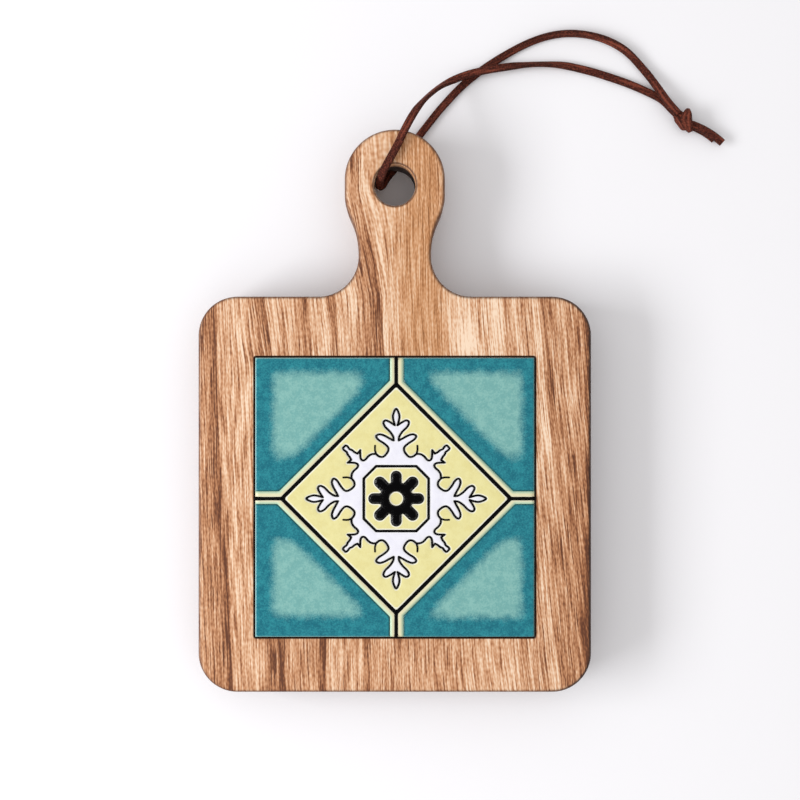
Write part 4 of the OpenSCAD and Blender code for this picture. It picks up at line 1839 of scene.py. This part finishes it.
@dataclass
class Pads:
    """Four soft round pads under the board."""

    radius: float = 5.0
    height: float = 2.0
    rounding: float = 0.8
    x: float = 55.5
    low_y: float = -86.0
    high_y: float = 26.0
    around: int = 48

    def surface(self) -> Surface:
        """One pad: a profile turned about its axis, slightly dished beneath.

        Returns:
            The closed surface standing on z 0 at the origin.
        """
        a = np.radians(np.linspace(0, 90, 7))
        foot = [self.radius - self.rounding * (1 - np.sin(a)), self.rounding * (1 - np.cos(a))]
        head = [(self.radius, self.height - 0.1), (self.radius - 0.1, self.height)]
        rows = np.vstack([[(self.radius * 0.5, 0.08)], np.stack(foot, axis=1), head])
        points = np.vstack([lifted(circle(self.around) * r, z) for r, z in rows])
        points = np.vstack([points, [(0, 0, 0.1)], [(0, 0, self.height)]])
        n, m = len(rows), self.around
        ring = np.arange(m)
        faces = [grid_quads(n, m), fan(ring, n * m), fan((n - 1) * m + ring, n * m + 1)]
        return Surface(points, faces, [True, True, False])

    def build(self, material: Material) -> None:
        """Makes the four pads and hides their CAD nodes.

        Args:
            material: their rubber.
        """
        for end, y in (("front", self.low_y), ("back", self.high_y)):
            for level, x in (("left", -self.x), ("right", self.x)):
                surface = self.surface().moved(x, y, 0)
                piece = make_piece(f"soft_pad_{end}_{level}", surface, material)
                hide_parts(f"foot_pad_{end}_{level}")


# ---------------------------------------------------------------- the lace


@dataclass
class Lace:
    """The suede lace: the loop through the hole, the knot in both strands and two tails."""

    width: float = 2.8
    thick: float = 1.4
    hole_x: float = 0.0
    hole_y: float = 81.0
    knot_x: float = 106.8
    knot_y: float = 26.2
    # Points round its section, and the power that squares the section off
    around: int = 16
    square: float = 0.45
    # Middle lines in the knot, from its centre: the strands, the big turn and the small one,
    # the turns with their width against the lace's
    core: tuple = (
        (-2.4, 2.6, 2.3), (-1.2, 1.5, 2.9), (0.1, 0.1, 3.1), (1.5, -1.2, 2.6), (2.8, -2.2, 2.1),
    )
    wrap: tuple = (
        (1.2, 2.4, 1.6, 1), (1.8, 3.4, 1.9, 0.8), (1.5, 3.6, 3.0, 0.55), (1.0, 2.1, 4.3, 1.2),
        (0.6, 0.1, 4.6, 1.5), (1.0, -1.8, 4.1, 1.4), (2.0, -3.0, 2.8, 0.8),
        (2.5, -2.9, 1.8, 0.8), (2.0, -1.0, 1.6, 0.9), (1.6, 0.8, 1.6, 0.9), (1.3, 2.2, 1.6, 1),
    )
    lump: tuple = (
        (-0.4, 2.4, 1.6, 1), (-1.9, 2.0, 1.9, 1), (-2.3, 0.9, 2.8, 1), (-1.6, -0.6, 3.6, 1),
        (-0.5, -2.0, 3.2, 1), (0.6, -2.8, 2.0, 0.9), (0.9, -2.0, 1.6, 0.9),
    )
    # Route from the knot, over the handle, down the hole and back, from the hole's centre
    route: tuple = (
        (104.6, 28.4, 2.4), (102.6, 30.6, 1.9), (100.2, 33.4, 1.2), (97.1, 35.7, 0.8),
        (88.6, 39.6, 0.8), (80, 42.7, 0.8), (71.3, 45.3, 0.8), (62.8, 47, 0.8),
        (54.4, 47.4, 0.8), (46, 46.9, 1.2), (38.8, 45.8, 2.5), (32.8, 44.7, 2.8),
        (27, 43.3, 2.8), (21.7, 41.1, 3.2), (16.5, 37.8, 5.4), (12.4, 33.8, 9), (9, 29.4, 13.2),
        (6.3, 24.8, 16.8), (3.7, 19.8, 18.2), (1, 14.2, 18.2), (-1.6, 9.4, 18.2),
        (-3.4, 6.2, 17.8), (-4.9, 3.1, 16), (-5.5, 1.4, 13.4), (-5.6, 0.7, 10), (-5.3, 1.0, 6.8),
        (-4.3, 2.4, 4.1), (-2.8, 5.3, 2), (-0.5, 8.3, 0.9), (4.7, 15.2, 0.8), (10.2, 22.5, 0.8),
        (18, 32.2, 0.8), (27.2, 41.5, 0.8), (39, 49.7, 0.8), (52, 56.3, 0.8), (63.6, 58.8, 0.8),
        (75.3, 57.4, 0.8), (85.1, 52.8, 0.8), (92.4, 45.3, 1.2), (97.1, 38.7, 2.5),
        (100.6, 33.4, 3.4), (104.6, 28.4, 4.1),
    )
    # Where the lace turns onto its edge: place in the route, and its roll in degrees
    rolls: tuple = (
        (0, 0), (6.4, 0), (7.6, 50), (8.6, 58), (9.8, 0), (12.6, 0), (13.8, 58), (15.6, 62),
        (17, 8), (32, 0), (33.8, 50), (36, 58), (37.8, 10), (39, 0), (41, 0),
    )

    def section(self) -> np.ndarray:
        """The lace's section: a rectangle with rounded edges, run round once.

        It is cos a and sin a, each raised to the power square with its sign kept, times half
        the width and half the thickness.

        Returns:
            (around, 2) points, across and up.
        """
        ray = rays(np.radians((np.arange(self.around) + 0.5) * 360 / self.around))
        return np.sign(ray) * np.abs(ray) ** self.square * [self.width / 2, self.thick / 2]

    def at_knot(self, surface: Surface) -> Surface:
        """A surface made round the knot's centre, moved to its place."""
        return surface.moved(self.hole_x + self.knot_x, self.hole_y + self.knot_y, 0)

    def band(
        self, path: np.ndarray, flat: np.ndarray, start: float = 0.0, taper: float = 1.0,
        girth: Sequence[object] = (1.0, 1.0),
    ) -> Surface:
        """A flat band carried along a path.

        Args:
            path: (n, 3) middle line.
            flat: (n, 3) directions that the band's width lies along.
            start: run of the lace at the path's first point, in mm.
            taper: size of the section at both ends against the middle.
            girth: width and thickness against the lace's own, each one value or n of them.

        Returns:
            The closed surface, with along in mm and across from -1 to 1.
        """
        ahead = headings(path)
        wide = flat - (flat * ahead).sum(axis=1, keepdims=True) * ahead
        wide /= np.linalg.norm(wide, axis=1, keepdims=True)
        up = np.cross(ahead, wide)
        section = self.section()
        n, m = len(path), len(section)
        share = np.linspace(0, 1, n)
        size = taper + (1 - taper) * np.clip(np.minimum(share, 1 - share) * 6, 0, 1)
        wide, up = (side * (size * grow)[:, None] for side, grow in zip((wide, up), girth))
        ring = path[:, None] + wide[:, None] * section[None, :, :1]
        ring = ring + up[:, None] * section[None, :, 1:]
        points = np.vstack([ring.reshape(-1, 3), path[:1], path[-1:]])
        first = np.arange(m)
        faces = [grid_quads(n, m), fan(first, n * m), fan(first + (n - 1) * m, n * m + 1)]
        run = start + run_along(path)
        along = np.concatenate([np.repeat(run, m), run[[0, -1]]])
        across = np.concatenate([np.tile(section[:, 0] / section[:, 0].max(), n), [1.0, 1.0]])
        return Surface(points, faces, [True, False, False], {"along": along, "across": across})

    def loop_path(self) -> tuple[np.ndarray, np.ndarray]:
        """The loop's middle line on the board, and its roll along it.

        The route is given for the flat lace. Where the lace is rolled by r it lies
        (w sin r + t (cos r - 1)) / 2 higher, which is how much its section grows downwards.
        The roll is a mean over nine points, so it sets in softly.

        Returns:
            (n, 3) points and n angles in radians.
        """
        marks = np.arange(len(self.route), dtype=float)[:, None]
        line = spaced(curve_through(np.hstack([np.array(self.route), marks]), 6), 0.9)
        places, angles = zip(*self.rolls)
        roll = np.radians(np.interp(line[:, 3], places, angles))
        roll = np.convolve(np.pad(roll, 4, mode="edge"), np.full(9, 1 / 9), mode="valid")
        path = line[:, :3] + np.array([self.hole_x, self.hole_y, 0.0])
        path[:, 2] += (self.width * np.sin(roll) + self.thick * (np.cos(roll) - 1)) / 2
        return path, roll

    def loop_flat(self, path: np.ndarray, roll: np.ndarray) -> np.ndarray:
        """Directions of the lace's width: level, carried on without twist past the hole.

        Where the lace runs steeply its width keeps the direction it had, as a mean of the
        level directions round it; that keeps the band from spinning in the hole. The roll r
        then turns it to w cos r + (heading x w) sin r.

        Args:
            path: (n, 3) middle line.
            roll: n angles in radians.

        Returns:
            (n, 3) unit directions.
        """
        ahead = headings(path)
        level = np.cross(np.array([0.0, 0.0, 1.0]), ahead)
        weight = np.linalg.norm(level, axis=1, keepdims=True)
        kernel = np.exp(-np.linspace(-2, 2, 25) ** 2)
        signed = level.copy()
        turn = np.sign((signed[1:] * signed[:-1]).sum(axis=1))
        turn[turn == 0] = 1
        signed[1:] *= np.cumprod(turn)[:, None]
        soft = np.stack([np.convolve(signed[:, k], kernel, mode="same") for k in range(3)], axis=1)
        flat = signed * weight + soft * 0.05
        flat /= np.linalg.norm(flat, axis=1, keepdims=True)
        return flat * np.cos(roll)[:, None] + np.cross(ahead, flat) * np.sin(roll)[:, None]

    def knot(self) -> Surface:
        """The overhand knot, from the middle of the two strands in it.

        Both strands run through it side by side; one turn of lace climbs over them from
        its ear at the upper right to its foot at the lower right, and a second, smaller
        one bulges at the left.

        Returns:
            The closed surfaces of the strands and the turns.
        """
        parts = []
        for aside, lift in ((0.25, 0.65), (-0.25, -0.75)):
            path = curve_through(self.core, 6) + np.array([aside * 0.7, aside * 0.7, lift])
            parts.append(self.band(path, np.tile([0.72, 0.69, 0.1 * aside], (len(path), 1))))
        for points, thick in ((self.wrap, 1.5), (self.lump, 1.2)):
            line = spaced(curve_through(points, 8), 0.4)
            path, width = line[:, :3], line[:, 3]
            flat = np.cross(headings(path), path - np.array([0.9, 0.0, 2.4]))
            parts.append(self.band(path, flat, 40, 0.6, (width, thick)))
        return self.at_knot(joined(parts))

    def tail(self, length: float, turn: float, low: float, droop: float, bow: float) -> Surface:
        """A cut end: a band from the knot along a slightly bowed line.

        Args:
            length: how far it runs past the knot.
            turn: its heading in degrees.
            low: height of its middle at the knot.
            droop: how far it sinks over its length.
            bow: how far its middle bows aside.

        Returns:
            The closed surface.
        """
        share = np.linspace(0, 1, 24)
        x = 2.4 + share * (length + 0.9)
        path = np.stack([x, bow * 4 * share * (1 - share), low - droop * share], axis=1)
        surface = self.band(path, np.tile([0.0, 1.0, 0.0], (24, 1)), 60)
        return self.at_knot(surface.turned(turn))

    def build(self, suede: Material) -> None:
        """Args:
            suede: the lace's material.
        """
        path, roll = self.loop_path()
        loop = make_piece("suede_loop", self.band(path, self.loop_flat(path, roll)), suede)
        knot = make_piece("suede_knot", self.knot(), suede)
        long_tail = make_piece("suede_tail_long", self.tail(13.3, -29, 3.0, 0.9, 0.8), suede)
        short_tail = make_piece("suede_tail_short", self.tail(10.3, -29, 1.0, 0.15, 0.6), suede)
        pairs = (
            (loop, "lace_loop"), (knot, "lace_knot"),
            (long_tail, "lace_tail_long"), (short_tail, "lace_tail_short"),
        )
        for piece, node in pairs:
            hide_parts(node)
        LOG.info("lace loop: %.1f mm", run_along(path)[-1])


# ---------------------------------------------------------------- the studio


@dataclass
class Studio:
    """Floor, lamps and the camera above the board."""

    camera_x: float = 1.87
    camera_y: float = 3.85
    camera_z: float = 457.0
    view_angle: float = 36.1
    floor: str = "#FAF9FC"
    # Half the floor's side and the lamp's sides and distance are in metres
    floor_half: float = 3.0
    sky: tuple[float, ...] = (1.0, 0.988, 0.98, 1.0)
    sky_strength: float = 0.72
    lamp_sides: tuple[float, float] = (0.9, 0.36)
    lamp_watts: float = 11.0
    lamp_colour: tuple[float, ...] = (0.975, 0.987, 1.0)
    lamp_turn: float = 190.0
    lamp_lift: float = 28.0
    lamp_far: float = 1.15

    def camera(self) -> None:
        """Puts the camera straight above, as in the photograph."""
        data = bpy.data.cameras.new("camera")
        data.sensor_fit = "HORIZONTAL"
        data.angle = math.radians(self.view_angle)
        data.clip_start = 0.01
        eye = bpy.data.objects.new("camera", data)
        eye.location = (self.camera_x * MM, self.camera_y * MM, self.camera_z * MM)
        bpy.context.scene.collection.objects.link(eye)
        bpy.context.scene.camera = eye

    def ground(self) -> None:
        """Lays the pale floor that the pads stand on."""
        material, t, shader = new_material("studio_floor")
        t.fill(shader, Base_Color=rgb(self.floor), Roughness=0.9, Specular_IOR_Level=0.1)
        h = self.floor_half
        mesh = bpy.data.meshes.new("studio_floor")
        mesh.from_pydata([(-h, -h, 0), (h, -h, 0), (h, h, 0), (-h, h, 0)], [], [(0, 1, 2, 3)])
        mesh.materials.append(material)
        floor = bpy.data.objects.new("studio_floor", mesh)
        bpy.context.scene.collection.objects.link(floor)

    def lamps(self) -> None:
        """A large soft lamp low on the left in front, and an even, pale surrounding."""
        world = bpy.data.worlds.new("studio")
        world.use_nodes = True
        back = world.node_tree.nodes["Background"]
        back.inputs["Color"].default_value = self.sky
        back.inputs["Strength"].default_value = self.sky_strength
        bpy.context.scene.world = world
        key = bpy.data.lights.new("key", "AREA")
        key.shape = "RECTANGLE"
        key.size, key.size_y = self.lamp_sides
        key.energy = self.lamp_watts
        key.color = self.lamp_colour
        lamp = bpy.data.objects.new("key", key)
        turn, lift, far = math.radians(self.lamp_turn), math.radians(self.lamp_lift), self.lamp_far
        flat = far * math.cos(lift)
        lamp.location = (flat * math.cos(turn), flat * math.sin(turn), far * math.sin(lift))
        lamp.rotation_euler = (-lamp.location).to_track_quat("-Z", "Y").to_euler()
        bpy.context.scene.collection.objects.link(lamp)


def main() -> None:
    """Builds the trivet on its frame, in order."""
    logging.basicConfig(level=logging.INFO, format="%(name)s: %(message)s")
    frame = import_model()
    bpy.context.scene.view_settings.view_transform = "Standard"
    groups = Groups(ripple_group(), speckle_group(), grain_group())
    studio = Studio()
    studio.camera()
    Lace().build(SuedeFinish().build(groups))
    looks = {
        "teal": TealFinish(),
        # Each glaze's third colour is its rim, painted highlight along its sides
        "cream": GlazeFinish(
            "cream_glaze", "#E6E0B9", "#DDD6A8", "#EBE6C6", 0.4, 0.4, verge="#BBD8BB"
        ),
        "yellow": GlazeFinish("yellow_glaze", "#EAE2A2", "#E2D792", "#FBF9E4", 0.55, 0.7),
        "white": GlazeFinish("white_glaze", "#F1F0F9", "#E7E6F4", "#FAFAFD", 0.5, 0.5),
        "line": BlackFinish("black_line", 0.05, 0.4, 0.2),
        "flower": BlackFinish("black_flower", 0.04, 0.07, 0.6, 0.55, 0.0004, second="#070609"),
        "clay": EarthFinish("clay", "#E9E0CF", "#D8CCB8", 0.8, 0.0001),
        "adhesive": EarthFinish("adhesive", "#DCDCD6", "#C9C8C0", 0.6, 0.0002),
    }
    finishes = {key: look.build(groups) for key, look in looks.items()}
    Board().build(WoodFinish().build(groups))
    Tile().build(finishes, frame)
    Pads().build(EarthFinish("pad_rubber", "#E4E2DC", "#D6D3CB", 0.6, 0.00005).build(groups))
    studio.ground()
    studio.lamps()
    bpy.context.view_layer.update()


if __name__ == "__main__":
    main()
